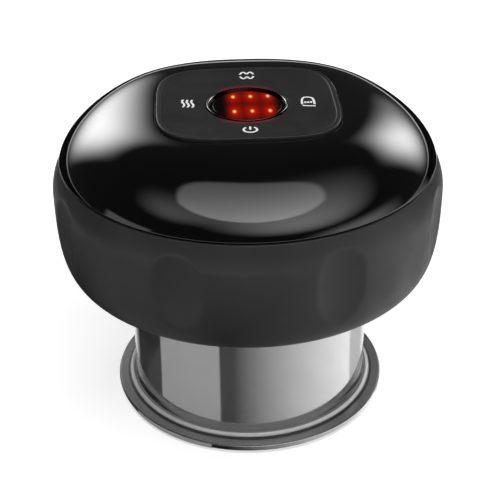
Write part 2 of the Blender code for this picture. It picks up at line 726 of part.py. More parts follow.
def make_cover():
    dome = dome_sections(PANEL_HALF + FIT_GAP, SEAM_RADIUS, COVER_EDGE_HEIGHT, DOME_TOP,
                         DOME_CURVE_POWER, DOME_END_ANGLE, DOME_STEPS)
    deck = dome_sections(DECK_HALF, SKIRT_INNER, SEAM_HEIGHT + TONGUE_HEIGHT + FIT_GAP, DECK_LOW,
                         DECK_CURVE_POWER, DECK_END_ANGLE, DECK_STEPS)
    cover = lofted("top_cover", [
        *dome,
        round_section(SKIRT_INNER, COVER_EDGE_HEIGHT),
        *reversed(deck),
        panel_section(PANEL_HALF - PANEL_LEDGE, DECK_LOW),
        panel_section(PANEL_HALF - PANEL_LEDGE, POCKET_FLOOR),
        panel_section(PANEL_HALF + FIT_GAP, POCKET_FLOOR),
    ], "gloss_black")

    post_top = SEAM_HEIGHT + DOME_RISE * POST_TOP_SHARE
    posts = pegs("cover_posts", POSTS, POST_RADIUS, BASE_TOP + SEAT_GAP, post_top)
    bosses = pegs("board_bosses", BOSSES, BOSS_RADIUS, BOARD_TOP + SEAT_GAP, DECK_LOW + JOIN_DEPTH)
    join(cover, posts, bosses)

    case_pilots = pegs("case_pilots", POSTS, CASE_SCREW_RADIUS + FIT_GAP, BASE_TOP - CUT_OVERRUN,
                       BASE_TOP + CASE_SCREW_LENGTH + CUT_OVERRUN, TINY_STEPS)
    board_pilots = pegs("board_pilots", BOSSES, BOARD_SCREW_RADIUS + FIT_GAP, BOARD_TOP - CUT_OVERRUN,
                        DECK_LOW, TINY_STEPS)
    cut(cover, case_pilots, board_pilots)


def make_panel():
    lofted("control_panel", [
        panel_section(PANEL_HALF, PANEL_LOW),
        round_section(DISPLAY_HOLE, PANEL_LOW),
        round_section(DISPLAY_HOLE, PANEL_FACE - PANEL_DISH),
        panel_section(PANEL_HALF - PANEL_RIM_WIDTH - PANEL_BEVEL * 2, PANEL_FACE),
        panel_section(PANEL_HALF - PANEL_RIM_WIDTH, PANEL_TOP),
        panel_section(PANEL_HALF - PANEL_BEVEL, PANEL_TOP),
        panel_section(PANEL_HALF, PANEL_TOP - PANEL_BEVEL),
    ], "panel_grey")


def make_display():
    ring_top = PANEL_FACE - PANEL_BEVEL
    foot_top = PANEL_LOW - SEAT_GAP
    foot_low = foot_top - RING_FOOT
    turned("display_ring", [
        (RING_OUTER, ring_top),
        (RING_OUTER, foot_top),
        (RING_OUTER + RING_FOOT_WIDTH, foot_top),
        (RING_OUTER + RING_FOOT_WIDTH, foot_low),
        (RING_INNER, foot_low),
        (RING_INNER, ring_top - RING_CHAMFER),
        (RING_OUTER - RING_FACE, ring_top),
    ], "bright_bevel", ROUND_STEPS, True)
    disc("display_window", WINDOW_RADIUS, foot_low, foot_low + WINDOW_THICKNESS, "dark_lens")
    light_box_top = foot_low - SEAT_GAP
    tube_ring("light_box", RING_OUTER - FIT_GAP * 2 - LIGHT_BOX_WALL, RING_OUTER - FIT_GAP * 2,
              LIGHT_BOX_LOW, light_box_top, "black_plastic")
    half_x, half_y, tall = LAMP_SIZE[0] / 2, LAMP_SIZE[1] / 2, LAMP_SIZE[2]
    for i in range(6):
        x = LAMP_PITCH * (i % 3 - 1)
        y = LAMP_ROW_GAP / 2 * (1 - i // 3 * 2)
        blocks(f"level_led_{i + 1}", [(
            (x - half_x, y - half_y, BOARD_TOP + SEAT_GAP),
            (x + half_x, y + half_y, BOARD_TOP + SEAT_GAP + tall),
        )], "lamp_red")


def make_control_board():
    holes = [circle(BOARD_SCREW_RADIUS + FIT_GAP, TINY_STEPS, place) for place in BOSSES]
    plate("control_board", [circle(BOARD_RADIUS, ROUND_STEPS), *holes], BOARD_LOW, BOARD_TOP, "board_green")
    head_at = BOARD_LOW - SEAT_GAP
    length = BOARD_TOP - head_at + BOARD_SCREW_GRIP
    outline = screw_outline(BOARD_SCREW_RADIUS, BOARD_HEAD_RADIUS, BOARD_HEAD_HEIGHT, length)
    for i, (x, y) in enumerate(BOSSES):
        turned(f"board_screw_{i + 1}", outline, "steel", TINY_STEPS, at=(x, y, head_at))
    switch_low = BOARD_TOP + SEAT_GAP
    switch_top = switch_low + SWITCH_HEIGHT
    for key, (x, y) in KEYS.items():
        body = rounded_box(SWITCH_HALF, SWITCH_HALF, SWITCH_CORNER, CORNER_STEPS)
        well = circle(PLUNGER_RADIUS + FIT_GAP, TINY_STEPS)
        plate("key_switch_" + key, [body, well], switch_low, switch_top, "black_plastic", (x, y, 0))
        length = PANEL_LOW - SEAT_GAP - switch_low - PLUNGER_LIFT
        disc("key_plunger_" + key, PLUNGER_RADIUS, -length, 0, "white_plastic", TINY_STEPS,
             (x, y, PANEL_LOW - SEAT_GAP))


def make_base():
    groove_middle = SPIGOT_END + SPIGOT_LENGTH * SEAL_HEIGHT_SHARE
    groove_half = SEAL_RADIUS + FIT_GAP
    groove_floor = SPIGOT_RADIUS - SEAL_GROOVE_DEPTH
    base = turned("base_plate", [
        (0, BASE_TOP),
        (BASE_RADIUS, BASE_TOP),
        (BASE_RADIUS, BASE_LOW),
        (SPIGOT_RADIUS, BASE_LOW),
        (SPIGOT_RADIUS, groove_middle + groove_half),
        (groove_floor, groove_middle + groove_half),
        (groove_floor, groove_middle - groove_half),
        (SPIGOT_RADIUS, groove_middle - groove_half),
        (SPIGOT_RADIUS, SPIGOT_END),
        (SPIGOT_INNER, SPIGOT_END),
        (SPIGOT_INNER, BASE_LOW),
        (0, BASE_LOW),
    ], "black_plastic", SHELL_STEPS)

    foot = BASE_TOP - JOIN_DEPTH
    rib_x = BATTERY_LENGTH / 2 * BATTERY_RIB_SHARE
    rib_top = BATTERY_Z - BATTERY_RADIUS * SADDLE_DEPTH_SHARE
    ribs = []
    for x in (-rib_x, rib_x):
        ribs.append(((x - RIB_WIDTH / 2, BATTERY_Y - BATTERY_RADIUS, foot),
                     (x + RIB_WIDTH / 2, BATTERY_Y + BATTERY_RADIUS, rib_top)))
    damper_x = DAMPER_AT + DAMPER_LENGTH / 2
    ribs.append(((damper_x - RIB_WIDTH, PUMP_Y - DAMPER_RADIUS, foot),
                 (damper_x + RIB_WIDTH, PUMP_Y + DAMPER_RADIUS,
                  PUMP_Z - DAMPER_RADIUS * SADDLE_DEPTH_SHARE)))
    pad_half = PUMP_HALF - PUMP_CORNER
    ribs.append(((PUMP_BODY_AT + PUMP_WALL, PUMP_Y - pad_half, foot),
                 (PUMP_BODY_END - PUMP_WALL, PUMP_Y + pad_half, PUMP_Z - PUMP_HALF - SEAT_GAP)))
    join(base, blocks("base_ribs", ribs))

    board_places = power_post_places()
    nozzles = [(-NOZZLE_REACH, LANE_Y), (NOZZLE_REACH, LANE_Y)]
    pegs_down = around(RED_PEG_COUNT, RED_PEG_CIRCLE, math.pi / 4)
    join(
        base,
        pegs("power_posts", board_places, POWER_POST_RADIUS, foot, BASE_TOP + POWER_POST_HEIGHT),
        pegs("hose_nozzles", nozzles, NOZZLE_RADIUS, foot, BASE_TOP + NOZZLE_HEIGHT, TINY_STEPS),
        pegs("valve_foot", [(VALVE_HALF_X - VALVE_FOOT_RADIUS - VALVE_AWAY, VALVE_Y)], VALVE_FOOT_RADIUS,
             foot, VALVE_LOW - SEAT_GAP),
        pegs("lamp_board_pegs", pegs_down, RED_PEG_RADIUS, RED_BOARD_TOP + SEAT_GAP, BASE_LOW + JOIN_DEPTH,
             TINY_STEPS),
    )
    cell_room = guide("battery_room", (0, BATTERY_Y, BATTERY_Z), ALONG_X)
    cut(
        base,
        disc("battery_saddle", BATTERY_RADIUS + SEAT_GAP, -BATTERY_LENGTH / 2, BATTERY_LENGTH / 2,
             frame=cell_room),
        disc("damper_saddle", DAMPER_RADIUS + SEAT_GAP, DAMPER_AT, DAMPER_AT + DAMPER_LENGTH,
             frame=PUMP_FRAME),
        pegs("head_sinks", POSTS, CASE_HEAD_RADIUS + FIT_GAP, BASE_LOW - CUT_OVERRUN,
             BASE_LOW + CASE_HEAD_HEIGHT + SEAT_GAP * 2),
        pegs("screw_holes", POSTS, CASE_SCREW_RADIUS + FIT_GAP, BASE_LOW - CUT_OVERRUN,
             BASE_TOP + CUT_OVERRUN, TINY_STEPS),
        pegs("nozzle_bores", nozzles, NOZZLE_BORE, BASE_LOW - CUT_OVERRUN,
             BASE_TOP + NOZZLE_HEIGHT + CUT_OVERRUN, TINY_STEPS),
        pegs("power_pilots", board_places, BOARD_SCREW_RADIUS + FIT_GAP, BASE_TOP,
             BASE_TOP + POWER_POST_HEIGHT + CUT_OVERRUN, TINY_STEPS),
    )
    head_at = BASE_LOW + CASE_HEAD_HEIGHT + SEAT_GAP
    outline = screw_outline(CASE_SCREW_RADIUS, CASE_HEAD_RADIUS, CASE_HEAD_HEIGHT, CASE_SCREW_LENGTH)
    for i, (x, y) in enumerate(POSTS):
        turned(f"case_screw_{i + 1}", outline, "steel", TINY_STEPS, at=(x, y, head_at))

    ring_middle = groove_floor + FIT_GAP + SEAL_RADIUS
    section = circle(SEAL_RADIUS, TINY_STEPS, (ring_middle, groove_middle))
    turned("cup_seal_ring", list(reversed(section)), "rubber_black", ROUND_STEPS, True)


def make_cup():
    foot_radius = CUP_RADIUS + FOOT_FLARE
    rim_radius = foot_radius + RIM_WIDTH
    step_top = RIM_THICKNESS + FOOT_STEP
    outline = [(CUP_RADIUS, CUP_HEIGHT)]
    for i in range(FOOT_STEPS + 1):
        angle = math.pi / 2 * i / FOOT_STEPS
        outline.append((foot_radius - FOOT_FLARE * math.cos(angle),
                        FOOT_HEIGHT - (FOOT_HEIGHT - step_top) * math.sin(angle)))
    outline += [
        (foot_radius, RIM_THICKNESS),
        (rim_radius - RIM_EDGE, RIM_THICKNESS),
        (rim_radius, RIM_THICKNESS - RIM_EDGE),
        (rim_radius, RIM_EDGE),
        (rim_radius - RIM_EDGE, 0),
        (CUP_INNER + RIM_BEVEL, 0),
        (CUP_INNER, RIM_BEVEL),
        (CUP_INNER, CUP_HEIGHT),
    ]
    turned("cup", outline, "smoke_clear", SHELL_STEPS, True)


def make_cup_roof():
    heater = turned("heater_plate", [
        (SPIGOT_RADIUS - FIT_GAP, HEATER_TOP),
        (SPIGOT_RADIUS - FIT_GAP, HEATER_LOW + HEATER_BEVEL),
        (SPIGOT_RADIUS - FIT_GAP - HEATER_BEVEL, HEATER_LOW),
        (HEATER_AIR_RADIUS, HEATER_LOW),
        (HEATER_AIR_RADIUS, HEATER_TOP),
    ], "steel", ROUND_STEPS, True)
    lamps = around(RED_LAMP_COUNT, RED_LAMP_CIRCLE)
    cut(heater, pegs("lamp_holes", lamps, RED_HOLE_RADIUS, HEATER_LOW - CUT_OVERRUN,
                     HEATER_TOP + CUT_OVERRUN, TINY_STEPS))
    filter_radius = HEATER_AIR_RADIUS + FILTER_MARGIN
    film_inner = filter_radius + FIT_GAP * 2
    disc("inlet_filter", filter_radius, HEATER_TOP + SEAT_GAP, HEATER_TOP + SEAT_GAP + FILTER_THICKNESS,
         "foam_grey", SMALL_STEPS)
    tube_ring("heater_film", film_inner, RED_LAMP_CIRCLE - RED_HOLE_RADIUS - FILM_LAMP_GAP,
              HEATER_TOP + SEAT_GAP, HEATER_TOP + SEAT_GAP + FILM_THICKNESS, "copper_film")
    board = tube_ring("red_light_board", RED_BOARD_HOLE, SPIGOT_INNER - FIT_GAP * 2, RED_BOARD_LOW,
                      RED_BOARD_TOP, "board_green")
    lamp_blocks = [(
        (x - RED_LAMP_HALF, y - RED_LAMP_HALF, RED_BOARD_LOW - RED_LAMP_HEIGHT),
        (x + RED_LAMP_HALF, y + RED_LAMP_HALF, RED_BOARD_LOW + JOIN_DEPTH),
    ) for x, y in lamps]
    join(board, blocks("red_lamps", lamp_blocks))


def power_post_places():
    y = POWER_BOARD_Y + POWER_POST_INSET
    return [(-POWER_POST_REACH, y), (POWER_POST_REACH, y)]


def make_power():
    end = BATTERY_LENGTH / 2
    cell_frame = guide("battery_axis", (0, BATTERY_Y, BATTERY_Z), ALONG_X)
    turned("battery_cell", [
        (0, end),
        (BATTERY_TIP_RADIUS, end),
        (BATTERY_TIP_RADIUS, end - BATTERY_CROWN),
        (BATTERY_RADIUS - BATTERY_CROWN, end - BATTERY_CROWN),
        (BATTERY_RADIUS, end - BATTERY_CROWN * 2),
        (BATTERY_RADIUS, -end),
        (0, -end),
    ], "cell_wrap", ROUND_STEPS, frame=cell_frame)

    middle_y = POWER_BOARD_Y + POWER_BOARD_DEPTH / 2
    outline = rounded_box(POWER_BOARD_HALF, POWER_BOARD_DEPTH / 2, POWER_BOARD_CORNER, CORNER_STEPS,
                          (0, middle_y))
    holes = [circle(BOARD_SCREW_RADIUS + FIT_GAP, TINY_STEPS, place) for place in power_post_places()]
    plate("power_board", [outline, *holes], POWER_BOARD_LOW, POWER_BOARD_TOP, "board_green")
    head_at = POWER_BOARD_TOP + SEAT_GAP
    length = POWER_BOARD_THICKNESS + POWER_SCREW_GRIP
    upright = screw_outline(BOARD_SCREW_RADIUS, BOARD_HEAD_RADIUS, BOARD_HEAD_HEIGHT, length)
    down = [(radius, -height) for radius, height in reversed(upright)]
    for i, (x, y) in enumerate(power_post_places()):
        turned(f"power_screw_{i + 1}", down, "steel", TINY_STEPS, at=(x, y, head_at))

    mouth = radius_at(SOCKET_Z) - SOCKET_SINK
    back = mouth - SOCKET_DEPTH
    away = Matrix.Rotation(-math.pi / 2, 3, "X").to_quaternion()
    shell = rounded_box(SOCKET_HALF_WIDTH, SOCKET_HALF_HEIGHT, SOCKET_HALF_HEIGHT * SOCKET_ROUND_SHARE)
    room_half = SOCKET_HALF_HEIGHT - SOCKET_WALL
    room = rounded_box(SOCKET_HALF_WIDTH - SOCKET_WALL, room_half, room_half * SOCKET_ROUND_SHARE)
    socket = plate("usb_socket", [shell], back, mouth, "steel", (0, 0, SOCKET_Z), turn=away)
    cut(socket, plate("socket_room", [room], back + SOCKET_BACK, mouth + CUT_OVERRUN, at=(0, 0, SOCKET_Z),
                      turn=away))
    tongue = ((-SOCKET_TONGUE_HALF, back + SOCKET_BACK / 2, SOCKET_Z - SOCKET_TONGUE_THICKNESS / 2),
              (SOCKET_TONGUE_HALF, mouth - SOCKET_BACK, SOCKET_Z + SOCKET_TONGUE_THICKNESS / 2))
    join(socket, blocks("socket_tongue", [tongue]))


def make_motor():
    frame = PUMP_FRAME
    inner = MOTOR_RADIUS - MOTOR_WALL
    hole = SHAFT_RADIUS + FIT_GAP * 2
    turned("motor_can", [
        (MOTOR_RADIUS, MOTOR_END),
        (MOTOR_RADIUS, MOTOR_AT),
        (inner, MOTOR_AT),
        (inner, MOTOR_END - MOTOR_WALL),
        (hole, MOTOR_END - MOTOR_WALL),
        (hole, MOTOR_END),
    ], "steel", ROUND_STEPS, True, frame=frame)
    tube_ring("motor_end_cap", hole, MOTOR_RADIUS - FIT_GAP, END_CAP_AT, MOTOR_AT - SEAT_GAP,
              "black_plastic", SMALL_STEPS, frame=frame)
    magnet_outer = inner - FIT_GAP
    magnet_inner = magnet_outer - MAGNET_THICKNESS
    tube_ring("ring_magnet", magnet_inner, magnet_outer, CORE_AT, CORE_END, "dark_magnet", ROUND_STEPS,
              frame=frame)
    core_radius = magnet_inner - AIR_GAP
    commutator_at = CORE_AT - COMMUTATOR_LENGTH
    turned("rotor", [
        (0, CRANK_AT + CRANK_SHAFT_DEPTH - SEAT_GAP),
        (SHAFT_RADIUS, CRANK_AT + CRANK_SHAFT_DEPTH - SEAT_GAP),
        (SHAFT_RADIUS, CORE_END),
        (core_radius, CORE_END),
        (core_radius, CORE_AT),
        (COMMUTATOR_RADIUS, CORE_AT),
        (COMMUTATOR_RADIUS, commutator_at),
        (SHAFT_RADIUS, commutator_at),
        (SHAFT_RADIUS, END_CAP_AT + SEAT_GAP),
        (0, END_CAP_AT + SEAT_GAP),
    ], "steel", ROUND_STEPS, frame=frame)
    tube_ring("pump_damper", DAMPER_RADIUS - DAMPER_WALL, DAMPER_RADIUS, DAMPER_AT,
              DAMPER_AT + DAMPER_LENGTH, "rubber_black", ROUND_STEPS, frame=frame)


def pump_square(*holes):
    return [rounded_box(PUMP_HALF, PUMP_HALF, PUMP_CORNER), *holes, *screw_holes()]


def screw_holes():
    return [circle(BOARD_SCREW_RADIUS + FIT_GAP, TINY_STEPS, place) for place in pump_screw_places()]


def pump_screw_places():
    return [(-PUMP_SCREW_REACH, -PUMP_SCREW_REACH), (PUMP_SCREW_REACH, PUMP_SCREW_REACH)]


def make_pump():
    frame = PUMP_FRAME
    body = plate("pump_body", pump_square(circle(SHAFT_HOLE)), PUMP_BODY_AT, PUMP_BODY_END,
                 "black_plastic", frame=frame)
    cut(body, disc("crank_room", PUMP_BORE, PUMP_BODY_AT + PUMP_WALL, PUMP_BODY_END + CUT_OVERRUN,
                   frame=frame))

    crank = disc("crank", CRANK_RADIUS, CRANK_AT, CRANK_END, "white_plastic", SMALL_STEPS, frame=frame)
    shaft_bore = disc("crank_bore", SHAFT_RADIUS + FIT_GAP, CRANK_AT - CUT_OVERRUN,
                      CRANK_AT + CRANK_SHAFT_DEPTH, None, TINY_STEPS, frame=frame)
    pin_low = CRANK_END - PIVOT_AT - CRANK_PIN_DEPTH
    tilt = guide("slanted_pin_axis", (0, 0, PIVOT_AT), (0, PIN_TILT, 0), frame)
    pin_bore = disc("pin_bore", PIN_RADIUS + FIT_GAP, pin_low, CRANK_END - PIVOT_AT + CUT_OVERRUN, None,
                    TINY_STEPS, frame=tilt)
    cut(crank, shaft_bore, pin_bore)

    rocker = turned("rocker", [
        (0, ROCKER_THICKNESS / 2),
        (ROCKER_RADIUS, ROCKER_THICKNESS / 2),
        (ROCKER_RADIUS, -ROCKER_THICKNESS / 2),
        (HUB_RADIUS, -ROCKER_THICKNESS / 2),
        (HUB_RADIUS, -HUB_LENGTH),
        (PIN_RADIUS, -HUB_LENGTH),
        (PIN_RADIUS, pin_low + SEAT_GAP),
        (0, pin_low + SEAT_GAP),
    ], "white_plastic", SMALL_STEPS, frame=tilt)
    chambers = around(CHAMBER_COUNT, CHAMBER_CIRCLE)
    rocker_holes = pegs("rocker_holes", chambers, ROCKER_HOLE, -ROCKER_THICKNESS, ROCKER_THICKNESS,
                        TINY_STEPS, frame=tilt)
    cut(rocker, rocker_holes)

    sheet = plate("diaphragm", pump_square(), SHEET_AT, SHEET_AT + SHEET_THICKNESS, "rubber_black",
                  frame=frame)
    bellows = pegs("diaphragm_cups", chambers, CHAMBER_RADIUS, SHEET_AT - CHAMBER_DEPTH,
                   SHEET_AT + SHEET_THICKNESS / 2, SMALL_STEPS, frame=frame)
    stems = pegs("diaphragm_stems", chambers, STEM_RADIUS, SHEET_AT - CHAMBER_DEPTH - STEM_LENGTH,
                 SHEET_AT - CHAMBER_DEPTH + JOIN_DEPTH, TINY_STEPS, frame=frame)
    join(sheet, bellows, stems)

    valves = [circle(VALVE_HOLE, TINY_STEPS, place) for place in [*chambers, (0, 0)]]
    plate("valve_plate", pump_square(*valves), VALVE_PLATE_AT, VALVE_PLATE_AT + VALVE_PLATE_LENGTH,
          "white_plastic", frame=frame)
    head = plate("pump_head", pump_square(), HEAD_AT, HEAD_END, "black_plastic", frame=frame)
    ports = [(0, PORT_REACH), (0, -PORT_REACH)]
    join(head, pegs("head_ports", ports, PORT_RADIUS, HEAD_END - JOIN_DEPTH, HEAD_END + PORT_LENGTH,
                    TINY_STEPS, frame=frame))
    cut(head, pegs("port_bores", ports, PORT_BORE, HEAD_AT - CUT_OVERRUN,
                   HEAD_END + PORT_LENGTH + CUT_OVERRUN, TINY_STEPS, frame=frame))

    length = HEAD_END + SEAT_GAP - PUMP_BODY_END + PUMP_SCREW_DEPTH
    upright = screw_outline(BOARD_SCREW_RADIUS, BOARD_HEAD_RADIUS, BOARD_HEAD_HEIGHT, length)
    down = [(radius, -height) for radius, height in reversed(upright)]
    for i, (x, y) in enumerate(pump_screw_places()):
        turned(f"pump_screw_{i + 1}", down, "steel", TINY_STEPS, at=(x, y, HEAD_END + SEAT_GAP), frame=frame)


def make_release_valve():
    x, y = -VALVE_AWAY, VALVE_Y
    nozzle_z = VALVE_LOW + VALVE_NOZZLE_RISE
    body = plate("valve_body", [rounded_box(VALVE_HALF_X, VALVE_HALF_Y, VALVE_CORNER, CORNER_STEPS)],
                 VALVE_LOW, VALVE_TOP, "white_plastic", (x, y, 0))
    along_y = guide("valve_nozzle_axis", (x, 0, nozzle_z), (-math.pi / 2, 0, 0))
    nozzle_end = y + VALVE_HALF_Y + VALVE_NOZZLE_LENGTH
    nozzle = disc("valve_nozzle", VALVE_NOZZLE_RADIUS, y + VALVE_HALF_Y - JOIN_DEPTH, nozzle_end, None,
                  TINY_STEPS, frame=along_y)
    seat = VALVE_LOW + VALVE_SEAT_HEIGHT
    bore = disc("valve_bore", VALVE_BORE, seat, VALVE_TOP + CUT_OVERRUN, None, SMALL_STEPS, (x, y, 0))
    nozzle_bore = disc("valve_nozzle_bore", NOZZLE_BORE, y, nozzle_end + CUT_OVERRUN, None, TINY_STEPS,
                       frame=along_y)
    join(body, nozzle)
    cut(body, bore, nozzle_bore)
    plunger_low = seat + SEAT_GAP
    disc("valve_plunger", VALVE_BORE - FIT_GAP, 0, VALVE_PLUNGER_LENGTH, "steel", SMALL_STEPS,
         (x, y, plunger_low))
    tube_ring("valve_cap", VALVE_CAP_HOLE, VALVE_HALF_X, VALVE_TOP + SEAT_GAP,
              VALVE_TOP + SEAT_GAP + VALVE_CAP_HEIGHT, "steel", SMALL_STEPS, (x, y, 0))

    low = plunger_low + VALVE_PLUNGER_LENGTH + SEAT_GAP + SPRING_WIRE
    high = VALVE_TOP - SPRING_WIRE
    count = SPRING_TURNS * SPRING_POINTS
    points = []
    for i in range(count + 1):
        angle = math.tau * i / SPRING_POINTS
        points.append((SPRING_RADIUS * math.cos(angle), SPRING_RADIUS * math.sin(angle),
                       low + (high - low) * i / count))
    wire("valve_spring", points, SPRING_WIRE, 1, "steel", (x, y, 0))
    least = min(math.dist(point, later) for point, later in zip(points, points[SPRING_POINTS:]))
    print("valve_spring: least gap between turns", round(least - SPRING_WIRE * 2, 6), "m")


def wire(name, points, radius, fineness, finish, at=(0, 0, 0)):
    """A round wire or hose along a list of points, with closed ends."""
    curve = bpy.data.curves.new(name, "CURVE")
    curve.dimensions = "3D"
    curve.bevel_depth = radius
    curve.bevel_resolution = fineness
    curve.use_fill_caps = True
    spline = curve.splines.new("POLY")
    spline.points.add(len(points) - 1)
    for point, place in zip(spline.points, points):
        point.co = (*place, 1)
    obj = bpy.data.objects.new(name, curve)
    obj.location = at
    return settle(obj, finish)


def smooth_route(points):
    """Points along a smooth curve through the route, with straight first and last stretches."""
    route = [Vector(p) for p in points]
    smooth = [route[0]]
    for before, start, end, after in zip(route, route[1:], route[2:], route[3:]):
        for i in range(HOSE_STEPS):
            t = i / HOSE_STEPS
            smooth.append((
                start * 2 + (end - before) * t + (before * 2 - start * 5 + end * 4 - after) * t**2
                + (start * 3 - before - end * 3 + after) * t**3
            ) / 2)
    return [*smooth, route[-2], route[-1]]


def make_hoses():
    low = BASE_TOP + NOZZLE_HEIGHT + SEAT_GAP
    port_end = HEAD_END + PORT_LENGTH + SEAT_GAP
    port_y = PUMP_Y + PORT_REACH
    wire("suction_hose", smooth_route([
        (NOZZLE_REACH, LANE_Y, low),
        (NOZZLE_REACH, LANE_Y, low + HOSE_STRAIGHT),
        (NOZZLE_REACH + HOSE_BULGE, LANE_Y, PUMP_Z - HOSE_BULGE),
        (HEAD_AT, LANE_Y, PUMP_Z),
        (port_end + HOSE_BULGE, (LANE_Y + port_y) / 2 + HOSE_SIDE_RUN, PUMP_Z),
        (port_end + HOSE_BULGE, port_y + HOSE_RADIUS, PUMP_Z),
        (port_end + HOSE_RADIUS, port_y, PUMP_Z),
        (port_end, port_y, PUMP_Z),
    ]), HOSE_RADIUS, 2, "hose_clear")
    nozzle_z = VALVE_LOW + VALVE_NOZZLE_RISE
    nozzle_end = VALVE_Y + VALVE_HALF_Y + VALVE_NOZZLE_LENGTH + SEAT_GAP
    wire("release_hose", smooth_route([
        (-NOZZLE_REACH, LANE_Y, low),
        (-NOZZLE_REACH, LANE_Y, low + HOSE_STRAIGHT),
        (-NOZZLE_REACH - HOSE_BULGE, LANE_Y, nozzle_z + HOSE_BULGE),
        ((-NOZZLE_REACH - VALVE_AWAY) / 2, LANE_Y, nozzle_z + HOSE_BULGE),
        (-VALVE_AWAY + HOSE_BULGE, nozzle_end + HOSE_BULGE, nozzle_z + HOSE_STRAIGHT / 2),
        (-VALVE_AWAY, nozzle_end + HOSE_RADIUS, nozzle_z),
        (-VALVE_AWAY, nozzle_end, nozzle_z),
    ]), HOSE_RADIUS, 2, "hose_clear")


make_cup()
make_base()
make_cup_roof()
make_housing()
make_cover()
make_panel()
make_display()
make_control_board()
make_power()
make_motor()
make_pump()
make_release_valve()
make_hoses()
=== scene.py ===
import bmesh
import bpy
import math
from mathutils import Matrix, Vector


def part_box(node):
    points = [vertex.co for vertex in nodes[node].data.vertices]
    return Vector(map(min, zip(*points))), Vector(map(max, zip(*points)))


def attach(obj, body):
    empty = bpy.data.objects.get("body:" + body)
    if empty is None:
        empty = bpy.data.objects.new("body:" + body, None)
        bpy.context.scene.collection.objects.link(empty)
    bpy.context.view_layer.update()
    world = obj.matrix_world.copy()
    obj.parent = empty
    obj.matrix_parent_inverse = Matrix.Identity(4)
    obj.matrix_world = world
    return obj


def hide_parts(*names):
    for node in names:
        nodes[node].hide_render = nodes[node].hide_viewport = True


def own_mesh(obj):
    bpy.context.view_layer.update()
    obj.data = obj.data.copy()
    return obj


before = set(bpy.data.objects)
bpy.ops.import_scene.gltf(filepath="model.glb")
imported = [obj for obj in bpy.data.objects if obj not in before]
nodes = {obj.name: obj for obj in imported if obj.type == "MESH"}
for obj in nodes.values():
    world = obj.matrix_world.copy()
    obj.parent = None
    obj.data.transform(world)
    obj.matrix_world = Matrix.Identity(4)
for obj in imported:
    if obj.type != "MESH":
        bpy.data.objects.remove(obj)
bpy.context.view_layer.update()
mm = 0.001
print("frame loaded:", len(nodes), "nodes")


# highest corner of a node's box, in millimetres
def topCorner(node):
    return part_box(node)[1] / mm


def lowCorner(node):
    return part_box(node)[0] / mm


def middleOf(node):
    return (topCorner(node) + lowCorner(node)) / 2


def addNode(tree, kind, inputs=(), **settings):
    node = tree.nodes.new(kind)
    for key, value in settings.items():
        setattr(node, key, value)
    for key, value in dict(inputs).items():
        if isinstance(value, bpy.types.NodeSocket):
            tree.links.new(value, node.inputs[key])
        elif value is not None:
            node.inputs[key].default_value = value
    return node


def maths(tree, operation, *values, **settings):
    return addNode(tree, "ShaderNodeMath", enumerate(values), operation=operation, **settings).outputs[0]


def plus(tree, first, second):
    return maths(tree, "ADD", first, second)


def minus(tree, first, second):
    return maths(tree, "SUBTRACT", first, second)


def times(tree, first, second):
    return maths(tree, "MULTIPLY", first, second)


def over(tree, first, second):
    return maths(tree, "DIVIDE", first, second)


def vectors(tree, operation, *values):
    return addNode(tree, "ShaderNodeVectorMath", enumerate(values), operation=operation).outputs[0]


def mapped(tree, value, low, high, outLow=0.0, outHigh=1.0, kind="SMOOTHSTEP"):
    return addNode(tree, "ShaderNodeMapRange", {
        "Value": value, "From Min": low, "From Max": high, "To Min": outLow, "To Max": outHigh,
    }, interpolation_type=kind).outputs[0]


def blendColors(tree, share, first, second):
    node = addNode(tree, "ShaderNodeMix", {0: share, 6: first, 7: second}, data_type="RGBA")
    return node.outputs[2]


def split(tree, vector):
    return addNode(tree, "ShaderNodeSeparateXYZ", {0: vector}).outputs


def join(tree, x, y, z):
    return addNode(tree, "ShaderNodeCombineXYZ", {0: x, 1: y, 2: z}).outputs[0]


def splitInMm(tree, place):
    return split(tree, vectors(tree, "MULTIPLY", place, (1 / mm,) * 3))


def levelReach(tree, x, y):
    return addNode(tree, "ShaderNodeVectorMath", {0: join(tree, x, y, 0.0)}, operation="LENGTH").outputs["Value"]


def findNode(tree, kind):
    return next(node for node in tree.nodes if node.type == kind)


def feed(shader, socket, value):
    shader.id_data.links.new(value, shader.inputs[socket])


# sRGB steps of 255 to a linear colour
def linear(red, green=None, blue=None):
    steps = (red, red if green is None else green, red if blue is None else blue)
    return tuple((s / 255 / 12.92) if s <= 10 else ((s / 255 + 0.055) / 1.055) ** 2.4 for s in steps) + (1,)


def startMaterial(name, **sockets):
    material = bpy.data.materials.new(name)
    material.use_nodes = True
    tree = material.node_tree
    shader = findNode(tree, "BSDF_PRINCIPLED")
    for key, value in sockets.items():
        shader.inputs[key.replace("_", " ")].default_value = value
    place = addNode(tree, "ShaderNodeTexCoord").outputs["Object"]
    return material, tree, shader, place


def noise(tree, place, size, detail=2.0, stretch=None):
    # size is the width of one patch in millimetres
    if stretch is not None:
        place = vectors(tree, "MULTIPLY", place, stretch)
    return addNode(tree, "ShaderNodeTexNoise", {"Vector": place, "Scale": 1 / (size * mm), "Detail": detail}).outputs[0]


def bumpFrom(tree, shader, height, depth, strength=1.0):
    # depth in millimetres
    bump = addNode(tree, "ShaderNodeBump", {"Strength": strength, "Distance": depth * mm, "Height": height})
    feed(shader, "Normal", bump.outputs[0])


